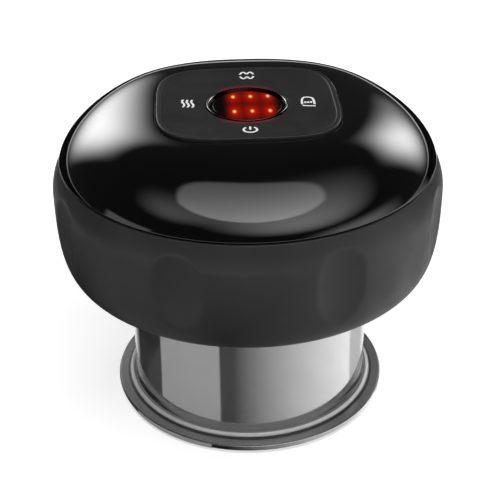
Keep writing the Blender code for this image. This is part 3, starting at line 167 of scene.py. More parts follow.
def mouldedMaterial(name, settings):
    material, tree, shader, place = startMaterial(name, **settings.get("sockets", {}))
    dark, pale = settings["tones"]
    cloud = noise(tree, place, settings.get("cloudSize", 9), 3)
    feed(shader, "Base Color", blendColors(tree, mapped(tree, cloud, 0.3, 0.7), dark, pale))
    low, high = settings["roughness"]
    smear = noise(tree, place, settings.get("smearSize", 5), 4)
    feed(shader, "Roughness", mapped(tree, smear, 0.3, 0.7, low, high))
    grain = noise(tree, place, settings["grainSize"], 2)
    bumpFrom(tree, shader, grain, settings["grainDepth"], settings.get("grainStrength", 1.0))
    return material


def brushedMaterial(name, settings):
    material, tree, shader, place = startMaterial(name, Metallic=1.0)
    lines = noise(tree, place, settings["lineSize"], 3, settings["stretch"])
    tone = mapped(tree, lines, 0.25, 0.75)
    feed(shader, "Base Color", blendColors(tree, tone, *settings["tones"]))
    feed(shader, "Roughness", mapped(tree, lines, 0.2, 0.8, *settings["roughness"]))
    bumpFrom(tree, shader, lines, settings["lineDepth"], 0.6)
    return material


finishes = {
    "coverGloss": {
        "tones": (linear(3, 3, 4), linear(5, 5, 6)), "roughness": (0.035, 0.07), "grainSize": 2.4,
        "grainDepth": 0.004, "grainStrength": 0.25,
        "sockets": {"Coat_Weight": 1.0, "Coat_Roughness": 0.02, "Coat_IOR": 1.5},
    },
    "housingMatte": {
        "tones": (linear(45, 45, 46), linear(51, 51, 52)), "roughness": (0.42, 0.5), "grainSize": 0.14,
        "grainDepth": 0.012, "cloudSize": 14, "sockets": {"Specular_IOR_Level": 0.42},
    },
    "panelSatin": {
        "tones": (linear(40, 40, 41), linear(46, 46, 47)), "roughness": (0.36, 0.42), "grainSize": 0.1,
        "grainDepth": 0.006,
    },
    "blackMoulded": {
        "tones": (linear(33), linear(42)), "roughness": (0.42, 0.58), "grainSize": 0.2, "grainDepth": 0.012,
    },
    "whiteMoulded": {
        "tones": (linear(214, 212, 204), linear(228, 226, 219)), "roughness": (0.36, 0.5), "grainSize": 0.25,
        "grainDepth": 0.01, "sockets": {"Subsurface_Weight": 0.08},
    },
    "sealRubber": {
        "tones": (linear(22), linear(32)), "roughness": (0.62, 0.8), "grainSize": 0.3, "grainDepth": 0.02,
    },
    "darkMagnet": {
        "tones": (linear(46, 44, 44), linear(66, 64, 63)), "roughness": (0.5, 0.72), "grainSize": 0.16,
        "grainDepth": 0.02,
    },
    "hoseMilky": {
        "tones": (linear(196, 196, 188), linear(216, 216, 208)), "roughness": (0.3, 0.42), "grainSize": 0.6,
        "grainDepth": 0.01, "sockets": {"Transmission_Weight": 0.25, "IOR": 1.41},
    },
    "filterFoam": {
        "tones": (linear(58), linear(122)), "roughness": (0.9, 1.0), "grainSize": 0.35, "grainDepth": 0.25,
        "cloudSize": 0.5,
    },
}
coatings = {name: mouldedMaterial(name, settings) for name, settings in finishes.items()}

metals = {
    "screwSteel": {"tones": (linear(150, 150, 153), linear(196, 196, 199)), "roughness": (0.22, 0.38),
                   "lineSize": 0.5, "lineDepth": 0.01, "stretch": (1, 1, 3)},
    "heaterSteel": {"tones": (linear(168, 168, 170), linear(205, 205, 206)), "roughness": (0.2, 0.34),
                    "lineSize": 0.6, "lineDepth": 0.006, "stretch": (0.06, 1, 1)},
    "canSteel": {"tones": (linear(150, 151, 153), linear(188, 189, 190)), "roughness": (0.24, 0.4),
                 "lineSize": 0.5, "lineDepth": 0.006, "stretch": (0.08, 1, 1)},
}
for metalName, metalSettings in metals.items():
    coatings[metalName] = brushedMaterial(metalName, metalSettings)


# solder mask with fine copper lines under it and tinned pads
circuitBoard = {
    "mask": (linear(10, 74, 38), linear(16, 92, 50)),
    "trace": linear(28, 118, 62),
    "pad": linear(190, 190, 182),
    "traceGap": 0.9,
    "padGap": 2.4,
}


def boardMaterial(name, settings):
    material, tree, shader, place = startMaterial(name, Roughness=0.3, Coat_Weight=0.4)
    cloud = noise(tree, place, 6, 2)
    mask = blendColors(tree, cloud, *settings["mask"])
    wander = noise(tree, place, 5, 1)
    x, y, z = split(tree, place)
    across = plus(tree, times(tree, y, 1 / (settings["traceGap"] * mm)),
                   times(tree, maths(tree, "SNAP", wander, 0.1), 4))
    line = maths(tree, "PINGPONG", across, 0.5)
    shown = times(tree, mapped(tree, line, 0.36, 0.4), mapped(tree, wander, 0.42, 0.46))
    traced = blendColors(tree, shown, mask, settings["trace"])
    cells = addNode(tree, "ShaderNodeTexVoronoi", {"Vector": place, "Scale": 1 / (settings["padGap"] * mm),
                                                   "Randomness": 0.35}, feature="F1").outputs[0]
    pad = mapped(tree, cells, 0.14, 0.17, 1.0, 0.0)
    feed(shader, "Base Color", blendColors(tree, pad, traced, settings["pad"]))
    feed(shader, "Metallic", pad)
    bumpFrom(tree, shader, maths(tree, "MAXIMUM", shown, pad), 0.03, 0.7)
    return material


coatings["circuitBoard"] = boardMaterial("circuitBoard", circuitBoard)

# amber film over a copper track that runs round in rings
heaterFilm = {"film": linear(196, 122, 36), "copper": linear(158, 84, 44), "trackGap": 1.3}


def filmMaterial(name, settings):
    material, tree, shader, place = startMaterial(name, Coat_Weight=0.6, Coat_Roughness=0.1)
    x, y, z = split(tree, place)
    reach = levelReach(tree, x, y)
    wave = maths(tree, "PINGPONG", times(tree, reach, 1 / (settings["trackGap"] * mm)), 0.5)
    track = mapped(tree, wave, 0.18, 0.24)
    feed(shader, "Base Color", blendColors(tree, track, settings["film"], settings["copper"]))
    feed(shader, "Metallic", times(tree, track, 0.7))
    feed(shader, "Roughness", mapped(tree, noise(tree, place, 2, 3), 0.3, 0.7, 0.25, 0.4))
    bumpFrom(tree, shader, track, 0.04, 0.8)
    return material


coatings["heaterFilm"] = filmMaterial("heaterFilm", heaterFilm)

# blue shrink wrap with a paler overlap line and a bare steel end
cellWrap = {"wrap": (linear(26, 78, 152), linear(34, 92, 170)), "overlap": linear(58, 118, 190),
            "steel": linear(176, 176, 178), "endAt": topCorner("battery_cell").x - 0.7, "overlapWidth": 1.6}


def wrapMaterial(name, settings, middle):
    material, tree, shader, place = startMaterial(name, Coat_Weight=0.5, Coat_Roughness=0.12)
    x, y, z = split(tree, place)
    wrap = blendColors(tree, noise(tree, place, 4, 2), *settings["wrap"])
    aside = maths(tree, "ABSOLUTE", minus(tree, y, middle.y * mm))
    upper = maths(tree, "GREATER_THAN", z, middle.z * mm)
    seam = times(tree, maths(tree, "LESS_THAN", aside, settings["overlapWidth"] * mm), upper)
    wrapped = blendColors(tree, seam, wrap, settings["overlap"])
    bare = maths(tree, "GREATER_THAN", x, settings["endAt"] * mm)
    feed(shader, "Base Color", blendColors(tree, bare, wrapped, settings["steel"]))
    feed(shader, "Metallic", bare)
    wrinkle = noise(tree, place, 1.5, 3, (0.2, 1, 1))
    feed(shader, "Roughness", mapped(tree, wrinkle, 0.3, 0.7, 0.24, 0.38))
    bumpFrom(tree, shader, plus(tree, wrinkle, seam), 0.03, 0.5)
    return material


cellMiddle = middleOf("battery_cell")
coatings["cellWrap"] = wrapMaterial("cellWrap", cellWrap, cellMiddle)

# what each node that stays as the frame has it is finished with
dressing = {
    "blackMoulded": ["base_plate", "light_box", "motor_end_cap", "pump_body", "pump_head"]
    + ["key_switch_" + key for key in ("heat", "cup", "level", "power")],
    "whiteMoulded": ["crank", "rocker", "valve_plate", "valve_body"]
    + ["key_plunger_" + key for key in ("heat", "cup", "level", "power")],
    "sealRubber": ["cup_seal_ring", "diaphragm", "pump_damper"],
    "darkMagnet": ["ring_magnet"],
    "hoseMilky": ["suction_hose", "release_hose"],
    "filterFoam": ["inlet_filter"],
    "circuitBoard": ["control_board", "red_light_board", "power_board"],
    "heaterFilm": ["heater_film"],
    "cellWrap": ["battery_cell"],
    "heaterSteel": ["heater_plate"],
    "canSteel": ["motor_can", "rotor", "usb_socket", "valve_plunger", "valve_cap"],
    "screwSteel": [f"board_screw_{i}" for i in range(1, 5)]
    + ["power_screw_1", "power_screw_2", "pump_screw_1", "pump_screw_2"],
}
for finishName, nodeNames in dressing.items():
    for nodeName in nodeNames:
        for materialSlot in nodes[nodeName].material_slots:
            materialSlot.material = coatings[finishName]
print("finishes made:", len(coatings))


panelShape = {"power": 3.85, "share": 0.957}  # squareness, and size along Y against X
roundShape = {"power": 2, "share": 1}


def roundRow(radius, height, soft=0.0):
    return radius, height, roundShape["power"], roundShape["share"], soft


def panelRow(half, height, soft=0.0):
    return half, height, panelShape["power"], panelShape["share"], soft


# corners with a soft value above zero become a curve that starts that far from the corner
def softened(rows, steps=5):
    made = []
    for i, row in enumerate(rows):
        here, soft = Vector(row[:4]), row[4]
        if soft == 0:
            made.append(tuple(here))
            continue
        ends = []
        for other in (rows[i - 1], rows[(i + 1) % len(rows)]):
            away = Vector(other[:4]) - here
            ends.append(here + away * min(soft / away.xy.length, 0.5))
        for k in range(steps + 1):
            t = k / steps
            made.append(tuple(ends[0] * (1 - t) ** 2 + here * (2 * t * (1 - t)) + ends[1] * t ** 2))
    return made


def loft(rows, sides):
    shape = bmesh.new()
    rings = []
    for half, height, power, share in rows:
        ring = []
        for i in range(sides if half > 0 else 1):
            angle = math.tau * i / sides
            across, along = math.cos(angle), math.sin(angle)
            reach = half * (abs(across) ** power + abs(along) ** power) ** (-1 / power)
            ring.append(shape.verts.new((reach * across, reach * along * share, height)))
        rings.append(ring)
    for ring, after in zip(rings, rings[1:] + rings[:1]):
        if len(ring) == len(after) == 1:
            continue
        for i in range(sides):
            corners = [ring[i % len(ring)], ring[(i + 1) % len(ring)],
                       after[(i + 1) % len(after)], after[i % len(after)]]
            shape.faces.new(list(dict.fromkeys(corners)))
    bmesh.ops.recalc_face_normals(shape, faces=shape.faces)
    return shape


def meshFrom(name, shape):
    mesh = bpy.data.meshes.new(name)
    shape.to_mesh(mesh)
    shape.free()
    mesh.transform(Matrix.Scale(mm, 4))
    return mesh


def placeObject(name, mesh):
    made = bpy.data.objects.new(name, mesh)
    bpy.context.scene.collection.objects.link(made)
    return made


def turned(name, rows, sides):
    return placeObject(name, meshFrom(name, loft(softened(rows), sides)))


def finishPiece(piece, material, body, slot, *standsFor, sharp=32):
    if material is not None:
        piece.data.materials.clear()
        piece.data.materials.append(material)
    piece.data.shade_smooth()
    piece.data.set_sharp_from_angle(angle=math.radians(sharp))
    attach(piece, body)
    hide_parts(*standsFor)
    print("made", piece.name, len(piece.data.polygons), "faces")
    return piece


socketKinds = {float: "NodeSocketFloat", int: "NodeSocketInt", bpy.types.Material: "NodeSocketMaterial",
               bpy.types.Object: "NodeSocketObject", tuple: "NodeSocketVector"}


def startTree(name, values):
    tree = bpy.data.node_groups.new(name, "GeometryNodeTree")
    tree.interface.new_socket("Geometry", in_out="INPUT", socket_type="NodeSocketGeometry")
    tree.interface.new_socket("Geometry", in_out="OUTPUT", socket_type="NodeSocketGeometry")
    for label, value in values.items():
        tree.interface.new_socket(label, in_out="INPUT", socket_type=socketKinds[type(value)])
    return tree, tree.nodes.new("NodeGroupInput").outputs


def endTree(tree, geometry, material):
    real = addNode(tree, "GeometryNodeRealizeInstances", {0: geometry}).outputs[0]
    colored = addNode(tree, "GeometryNodeSetMaterial", {0: real, "Material": material}).outputs[0]
    tree.links.new(colored, tree.nodes.new("NodeGroupOutput").inputs[0])


# runs the object's modifiers and keeps the result as a plain mesh
def grow(piece, tree, values):
    step = piece.modifiers.new(tree.name, "NODES")
    step.node_group = tree
    for item in tree.interface.items_tree:
        if item.in_out == "INPUT" and item.name in values:
            step[item.identifier] = values[item.name]
    whole = piece.evaluated_get(bpy.context.evaluated_depsgraph_get())
    mesh = bpy.data.meshes.new_from_object(whole)
    piece.modifiers.clear()
    piece.data = mesh
    mesh.name = piece.name
    return piece


# the gloss dome
cover = {
    "radius": topCorner("top_cover").x,
    "top": topCorner("top_cover").z,
    "seam": 63.7,  # height of the dome's lowest section
    "reveal": 0.5,
    "curvePower": 1.9,
    "endAngle": 78,
    "blendPower": 2,
    "panelGap": 0.3,
    "wall": 2.4,
    "edgeSoft": 0.18,
    "deckHalf": 22,
    "deckLow": 65.8,
    "deckTop": 72.8,
    "deckPower": 1.5,
    "deckEndAngle": 90,
    "pocketFloor": 74.4,
    "openingHalf": 18.8,
    "steps": 56,
    "sides": 288,
}
panelHalf = topCorner("control_panel").x


def curvePoint(angle, curvePower):
    return math.sin(angle) ** (2 / curvePower), 1 - max(math.cos(angle), 0) ** (2 / curvePower)


# rows from the panel's outline out and down to a circle
def domeRows(inner, outer, low, high, curvePower, endAngle, steps):
    lastOut, lastDown = curvePoint(math.radians(endAngle), curvePower)
    rows = []
    for i in range(steps + 1):
        out, down = curvePoint(math.radians(endAngle) * i / steps, curvePower)
        spread = out / lastOut
        height = high + (low - high) * down / lastDown
        square = max(1 - spread, 0) ** cover["blendPower"]
        power = 2 + (panelShape["power"] - 2) * square
        share = 1 - (1 - panelShape["share"]) * square
        rows.append((inner + (outer - inner) * spread, height, power, share, 0.0))
    return rows


def pegOn(shape, x, y, radius, bore, low, high, depth, sides=48):
    # a round post with a pilot hole in its lower end
    peg = loft(softened([
        roundRow(0, high), roundRow(radius, high), roundRow(radius, low, 0.2), roundRow(bore, low, 0.12),
        roundRow(bore, low + depth), roundRow(0, low + depth),
    ], 3), sides)
    bmesh.ops.translate(peg, verts=peg.verts, vec=(x, y, 0))
    spare = bpy.data.meshes.new("peg")
    peg.to_mesh(spare)
    peg.free()
    shape.from_mesh(spare)
    bpy.data.meshes.remove(spare)


posts = {
    "low": lowCorner("top_cover").z,
    "radius": 3.0,
    "bore": 1.5,
    "depth": 10.5,
    "top": 71.6,
    "bossRadius": 2.2,
    "bossBore": 1.3,
    "bossTop": 73.4,
    "bossDepth": 2.2,
}


def makeCover():
    pocketHalf = panelHalf + cover["panelGap"]
    inner = cover["radius"] - cover["wall"]
    edge = cover["seam"] + cover["reveal"] / 2
    dome = domeRows(pocketHalf, cover["radius"], edge, cover["top"], cover["curvePower"], cover["endAngle"],
                    cover["steps"])
    deck = domeRows(cover["deckHalf"], inner, cover["deckLow"], cover["deckTop"], cover["deckPower"],
                    cover["deckEndAngle"], 20)
    dome[0] = dome[0][:4] + (cover["edgeSoft"],)
    dome[-1] = dome[-1][:4] + (cover["edgeSoft"],)
    rows = dome + [
        roundRow(inner, edge, cover["edgeSoft"]),
        *reversed(deck), panelRow(cover["openingHalf"], cover["deckTop"]),
        panelRow(cover["openingHalf"], cover["pocketFloor"]), panelRow(pocketHalf, cover["pocketFloor"]),
    ]
    shape = loft(softened(rows), cover["sides"])
    for i in range(1, 5):
        corner = middleOf(f"case_screw_{i}")
        pegOn(shape, corner.x, corner.y, posts["radius"], posts["bore"], posts["low"], posts["top"], posts["depth"])
        boss = middleOf(f"board_screw_{i}")
        bossLow = topCorner("control_board").z + cover["panelGap"]
        pegOn(shape, boss.x, boss.y, posts["bossRadius"], posts["bossBore"], bossLow, posts["bossTop"],
              posts["bossDepth"])
    piece = placeObject("topCover", meshFrom("topCover", shape))
    return finishPiece(piece, coatings["coverGloss"], "casing", "cover_gloss", "top_cover")


makeCover()

# the matte lower housing with its dents and the slot for the charging socket
housing = {
    "bottom": lowCorner("lower_housing").z,
    "tongueTop": topCorner("lower_housing").z,
    "widest": 45.97,
    "seamInset": 1.9,
    "seamDrop": 7.1,  # from the seam down to the widest height
    "bulge": 6.9,
    "curvePower": 3.2,
    "wall": 2.4,
    "lipSoft": 0.22,
    "bottomLip": 0.9,
    "ledge": (39.2, 40.8),
    "ledgeWidth": 1.8,
    "tongueOuter": 41.37,
    "tongueWall": 1.4,
    "bottomSoft": 0.3,
    "insideAbove": 0.5,  # the inner curve starts this far above the ledge and ends this far under the lip
    "insideBelow": 1.8,
    "ledgeStep": 0.4,
    "lowerSteps": 52,
    "upperSteps": 14,
    "insideSteps": 18,
    "sides": 480,
}
recesses = {
    "Recess Count": 8,
    "First Turn": 0.5,  # in steps between recesses, from +X
    "Ball Reach": 52.67,  # from the axis to the middle of the ball that dents the side
    "Ball Outward": 8.0,
    "Ball Across": 13.0,
    "Ball Upright": 26.0,
    "Ball Height": 50.74,
    "Edge Softness": 0.3,
}
portSlot = {
    "halfWidth": 4.8,
    "halfHeight": 1.9,
    "height": middleOf("usb_socket").z,
    "steps": [(40.27, 0.0), (44.2, 0.0), (48.0, 3.8)],  # depth along Y and how much wider the slot is there
    "cornerSteps": 8,
}


def bodyRadii(steps):
    bottomRadius = housing["widest"] - housing["bulge"]
    level = cover["seam"] - housing["seamDrop"]
    lip = cover["seam"] - cover["reveal"] / 2
    rows = []
    for i in range(housing["upperSteps"]):
        share = i / housing["upperSteps"]
        radius = housing["widest"] - housing["seamInset"] * (1 - math.sin(math.pi / 2 * share))
        rows.append((radius, lip - (lip - level) * share))
    for i in range(steps + 1):
        angle = math.pi / 2 * i / steps
        radius = bottomRadius + housing["bulge"] * max(math.cos(angle), 0) ** (2 / housing["curvePower"])
        rows.append((radius, level - (level - housing["bottom"]) * math.sin(angle) ** (2 / housing["curvePower"])))
    return rows


def recessTree(values):
    tree, given = startTree("fingerRecesses", values)
    place = tree.nodes.new("GeometryNodeInputPosition").outputs[0]
    x, y, z = split(tree, place)
    angle = maths(tree, "ARCTAN2", y, x)
    step = over(tree, math.tau, given["Recess Count"])
    steps = minus(tree, over(tree, angle, step), given["First Turn"])
    axis = times(tree, plus(tree, maths(tree, "ROUND", steps), given["First Turn"]), step)
    fromAxis = minus(tree, angle, axis)
    reach = levelReach(tree, x, y)
    outward = times(tree, reach, maths(tree, "COSINE", fromAxis))
    across = times(tree, reach, maths(tree, "SINE", fromAxis))
    acrossShare = over(tree, across, given["Ball Across"])
    upShare = over(tree, minus(tree, z, given["Ball Height"]), given["Ball Upright"])
    left = minus(tree, 1.0, times(tree, acrossShare, acrossShare))
    left = minus(tree, left, times(tree, upShare, upShare))
    left = maths(tree, "SQRT", maths(tree, "MAXIMUM", left, 0.0))
    ball = minus(tree, given["Ball Reach"], times(tree, left, given["Ball Outward"]))
    dented = maths(tree, "SMOOTH_MIN", outward, ball, given["Edge Softness"])
    move = minus(tree, dented, outward)
    shift = join(tree, times(tree, move, maths(tree, "COSINE", axis)),
                 times(tree, move, maths(tree, "SINE", axis)), 0.0)
    dents = addNode(tree, "GeometryNodeSetPosition", {0: given["Geometry"], "Offset": shift}).outputs[0]
    endTree(tree, dents, given["Finish"])
    return tree


def slotCutter(settings):
    shape = bmesh.new()
    rings = []
    for depth, wider in settings["steps"]:
        ring = []
        for end in (1, -1):
            middle = end * (settings["halfWidth"] - settings["halfHeight"])
            for k in range(settings["cornerSteps"] + 1):
                angle = math.pi * (k / settings["cornerSteps"] - 0.5) * end
                reach = settings["halfHeight"] + wider
                x = middle + reach * math.cos(angle) * end
                ring.append(shape.verts.new((x, depth, settings["height"] + reach * math.sin(angle))))
        rings.append(ring)
    for ring, after in zip(rings, rings[1:]):
        for i in range(len(ring)):
            j = (i + 1) % len(ring)
            shape.faces.new((ring[i], ring[j], after[j], after[i]))
    shape.faces.new(rings[0])
    shape.faces.new(rings[-1])
    bmesh.ops.recalc_face_normals(shape, faces=shape.faces)
    return placeObject("slotCutter", meshFrom("slotCutter", shape))


def makeHousing():
    lip = cover["seam"] - cover["reveal"] / 2
    outer = [roundRow(radius, height) for radius, height in bodyRadii(housing["lowerSteps"])]
    outer[0] = outer[0][:4] + (housing["lipSoft"],)
    outer[-1] = outer[-1][:4] + (housing["bottomSoft"],)
    ledgeLow, ledgeTop = housing["ledge"]
    baseHole = outer[-1][0] - housing["bottomLip"]
    inside = [roundRow(radius - housing["wall"], height) for radius, height in bodyRadii(housing["insideSteps"])
              if ledgeTop + housing["insideAbove"] < height < lip - housing["insideBelow"]]
    tongueInner = housing["tongueOuter"] - housing["tongueWall"]
    ledgeRadius = baseHole - housing["ledgeWidth"]
    rows = [
        roundRow(housing["tongueOuter"], housing["tongueTop"], 0.2), roundRow(housing["tongueOuter"], lip), *outer,
        roundRow(baseHole, housing["bottom"], 0.15), roundRow(baseHole, ledgeLow),
        roundRow(ledgeRadius, ledgeLow, 0.15), roundRow(ledgeRadius, ledgeTop, 0.15),
        roundRow(inside[-1][0] - housing["ledgeStep"], ledgeTop), *reversed(inside),
        roundRow(tongueInner, lip), roundRow(tongueInner, housing["tongueTop"], 0.2),
    ]
    piece = turned("lowerHousing", rows, housing["sides"])
    cutter = slotCutter(portSlot)
    opening = piece.modifiers.new("portSlot", "BOOLEAN")
    opening.operation = "DIFFERENCE"
    opening.object = cutter
    values = {key: value * mm if key.startswith(("Ball", "Edge")) else value for key, value in recesses.items()}
    values["Finish"] = coatings["housingMatte"]
    grow(piece, recessTree(values), values)
    bpy.data.objects.remove(cutter)
    return finishPiece(piece, None, "casing", "housing_matte", "lower_housing")


makeHousing()

# the panel with its raised edge and dished face
panel = {
    "low": lowCorner("control_panel").z,
    "top": topCorner("control_panel").z,
    "rimWidth": 0.85,
    "rimHeight": 0.16,
    "rimSlope": 0.3,
    "rimSoft": 0.14,
    "dish": 0.74,
    "dishSteps": 12,
    "holeRadius": 9.6,
    "sides": 256,
    "spill": linear(96, 8, 6),  # red light that the lamps throw on the face round the display
    "spillReach": (9.3, 11.4),
    "spillHalf": (4.5, 7.5),
}


def panelMaterial(settings):
    material = coatings["panelSatin"]
    tree = material.node_tree
    shader = findNode(tree, "BSDF_PRINCIPLED")
    place = addNode(tree, "ShaderNodeTexCoord").outputs["Object"]
    x, y, z = splitInMm(tree, place)
    reach = levelReach(tree, x, y)
    near = mapped(tree, reach, *settings["spillReach"], 1.0, 0.0)
    between = mapped(tree, maths(tree, "ABSOLUTE", x), *settings["spillHalf"], 1.0, 0.0)
    spill = times(tree, near, between)
    feed(shader, "Emission Color", blendColors(tree, spill, (0, 0, 0, 1), settings["spill"]))
    shader.inputs["Emission Strength"].default_value = 1.0
    return material


def makePanel():
    face = panel["top"] - panel["rimHeight"]
    footHalf = panelHalf - panel["rimWidth"] - panel["rimSlope"]
    rows = [panelRow(panelHalf, panel["low"], 0.1), roundRow(panel["holeRadius"], panel["low"]),
            roundRow(panel["holeRadius"], face - panel["dish"], 0.12)]
    for i in range(1, panel["dishSteps"] + 1):  # the face rises slowly from the display and faster at its edge
        share = i / panel["dishSteps"]
        height = face - panel["dish"] * (1 - share ** 1.5)
        power = roundShape["power"] + (panelShape["power"] - roundShape["power"]) * share
        sideShare = roundShape["share"] + (panelShape["share"] - roundShape["share"]) * share
        half = panel["holeRadius"] + (footHalf - panel["holeRadius"]) * share
        rows.append((half, height, power, sideShare, 0.12 if i == panel["dishSteps"] else 0.0))
    rows += [panelRow(panelHalf - panel["rimWidth"], panel["top"], panel["rimSoft"]),
             panelRow(panelHalf, panel["top"], panel["rimSoft"] * 1.6)]
    piece = turned("controlPanel", rows, panel["sides"])
    return finishPiece(piece, panelMaterial(panel), "casing", "panel_satin", "control_panel")


controlPanel = makePanel()

# white symbols that lie on the panel
symbols = {
    "Stroke Width": 0.48,
    "Stroke Height": 0.06,
    "Stroke Spacing": 0.12,
}
# white print with a faint white glow added, which is painted light
symbolInk = {
    "tones": (linear(246), linear(255)), "roughness": (0.4, 0.55), "grainSize": 0.15, "grainDepth": 0.004,
    "cloudSize": 0.7, "sockets": {"Emission_Color": (1, 1, 1, 1), "Emission_Strength": 0.22},
}
# points in millimetres on the panel, seen from above
heatWave = [(-13.62, 2.9), (-14.05, 1.75), (-13.25, 0.05), (-13.75, -1.3)]
cupArch = [(12.6, -1.3), (12.65, 1.1), (13.15, 2.5), (13.9, 2.5), (14.5, 2.3), (15.2, 1.8), (15.4, 0.1),
           (15.4, -1.9)]
cupBar = [(12.6, -2.0), (15.5, -2.9)]
powerCircle = {"middle": (-0.08, -14.4), "half": (1.5, 1.7), "open": 36, "steps": 28}
powerBar = [(-0.05, -12.5), (-0.1, -14.4)]
wavePitch = 1.05
droplets = {"count": 3, "first": 13.4, "pitch": 0.65, "low": -0.8, "high": 0.1, "slope": -0.1}
waveUpper = [(-0.9, 16.5), (-0.35, 17.6), (0.2, 17.6), (0.77, 16.5), (1.35, 17.6), (1.85, 17.6), (2.4, 16.5)]
waveLower = [(-0.9, 15.5), (-0.35, 14.4), (0.2, 14.4), (0.77, 15.5), (1.35, 14.4), (1.85, 14.4), (2.4, 15.5)]


def rounded(points, times=3):
    for _ in range(times):  # cuts the corners of an open line
        cut = [points[0]]
        for (x0, y0), (x1, y1) in zip(points, points[1:]):
            cut += [(x0 * 0.75 + x1 * 0.25, y0 * 0.75 + y1 * 0.25), (x0 * 0.25 + x1 * 0.75, y0 * 0.25 + y1 * 0.75)]
        points = cut + [points[-1]]
    return points


def symbolLines():
    lines = [rounded([(x + aside, y) for x, y in heatWave]) for aside in (-wavePitch, 0.0, wavePitch)]
    lines += [rounded(waveUpper, 2), rounded(waveLower, 2), rounded(cupArch, 2), cupBar, powerBar]
    for i in range(droplets["count"]):
        x = droplets["first"] + i * droplets["pitch"]
        lines.append([(x, droplets[end] + i * droplets["slope"]) for end in ("low", "high")])
    gap = math.radians(powerCircle["open"])
    arc = []
    for i in range(powerCircle["steps"] + 1):
        angle = math.pi / 2 + gap + (math.tau - gap * 2) * i / powerCircle["steps"]
        arc.append((powerCircle["middle"][0] + powerCircle["half"][0] * math.cos(angle),
                    powerCircle["middle"][1] + powerCircle["half"][1] * math.sin(angle)))
    return lines + [arc]


def strokeTree(values):
    tree, given = startTree("panelStrokes", values)
    lines = addNode(tree, "GeometryNodeMeshToCurve", {0: given["Geometry"]}).outputs[0]
    spaced = addNode(tree, "GeometryNodeResampleCurve", {"Curve": lines, "Length": given["Stroke Spacing"]},
                     mode="LENGTH").outputs[0]
    surface = addNode(tree, "GeometryNodeObjectInfo", {"Object": given["Panel"]},
                      transform_space="RELATIVE").outputs["Geometry"]
    place = tree.nodes.new("GeometryNodeInputPosition").outputs[0]
    ray = addNode(tree, "GeometryNodeRaycast", {"Target Geometry": surface, "Source Position": place,
                                                "Ray Direction": (0, 0, -1), "Ray Length": 1.0})
    laid = addNode(tree, "GeometryNodeSetPosition", {0: spaced, "Position": ray.outputs["Hit Position"]}).outputs[0]
    flat = addNode(tree, "GeometryNodeSetCurveNormal", {0: laid}, mode="Z_UP").outputs[0]
    section = addNode(tree, "GeometryNodeCurvePrimitiveQuadrilateral", {
        "Width": given["Stroke Width"], "Height": given["Stroke Height"],
    }).outputs[0]
    strokes = addNode(tree, "GeometryNodeCurveToMesh", {"Curve": flat, "Profile Curve": section,
                                                        "Fill Caps": True}).outputs[0]
    endTree(tree, strokes, given["Finish"])
    return tree


def makeSymbols():
    points, edges = [], []
    for line in symbolLines():
        first = len(points)
        points += [(x * mm, y * mm, panel["top"] * mm * 1.05) for x, y in line]
        edges += [(first + i, first + i + 1) for i in range(len(line) - 1)]
    mesh = bpy.data.meshes.new("panelSymbols")
    mesh.from_pydata(points, edges, [])
    values = {key: value * mm for key, value in symbols.items()}
    values.update({"Panel": controlPanel, "Finish": mouldedMaterial("symbolInk", symbolInk)})
    piece = grow(placeObject("panelSymbols", mesh), strokeTree(values), values)
    return finishPiece(piece, None, "casing", "white_plastic")


makeSymbols()

# the display's ring, lens and lamps
ring = {
    "outer": 9.3, "inner": 8.3, "top": topCorner("display_ring").z, "face": 0.36, "chamfer": 1.1,
    "footRadius": topCorner("display_ring").x, "footTop": 74.4, "footLow": lowCorner("display_ring").z,
    "soft": 0.08, "sides": 160, "wallDrop": 0.1,
    # painted reflections: a painted highlight at the sides, a painted red reflection at the front, painted dark
    # reflection at the back and on the inner wall
    "paintedHighlight": linear(230), "front": linear(160, 104, 100), "paintedDarkReflection": linear(44, 16, 15),
}


# chrome with painted reflections in its colour: painted highlights to the left and right, a painted red reflection of
# the display at the front, painted dark reflection at the back and down its inner wall
def ringMaterial(settings):
    material, tree, shader, place = startMaterial("smokedChrome", Metallic=1.0)
    x, y, z = splitInMm(tree, place)
    turn = maths(tree, "ARCTAN2", y, x)
    tone = blendColors(tree, mapped(tree, maths(tree, "SINE", turn), -0.6, 0.3), settings["front"], settings["paintedDarkReflection"])
    aside = maths(tree, "ABSOLUTE", maths(tree, "COSINE", turn))
    tone = blendColors(tree, mapped(tree, aside, 0.72, 0.97), tone, settings["paintedHighlight"])
    upper = mapped(tree, z, settings["top"] - settings["wallDrop"], settings["top"] - settings["wallDrop"] / 2)
    feed(shader, "Base Color", blendColors(tree, upper, settings["paintedDarkReflection"], tone))
    lines = noise(tree, place, 0.4, 3, (1, 1, 0.2))
    feed(shader, "Roughness", mapped(tree, lines, 0.2, 0.8, 0.08, 0.16))
    bumpFrom(tree, shader, lines, 0.002, 0.6)
    return material


def makeRing():
    rows = [
        roundRow(ring["outer"], ring["top"], ring["soft"]), roundRow(ring["outer"], ring["footTop"]),
        roundRow(ring["footRadius"], ring["footTop"], 0.1), roundRow(ring["footRadius"], ring["footLow"], 0.1),
        roundRow(ring["inner"], ring["footLow"], 0.1), roundRow(ring["inner"], ring["top"] - ring["chamfer"], 0.1),
        roundRow(ring["outer"] - ring["face"], ring["top"], ring["soft"]),
    ]
    piece = turned("displayRing", rows, ring["sides"])
    return finishPiece(piece, ringMaterial(ring), "casing", "bevel_chrome", "display_ring")


makeRing()

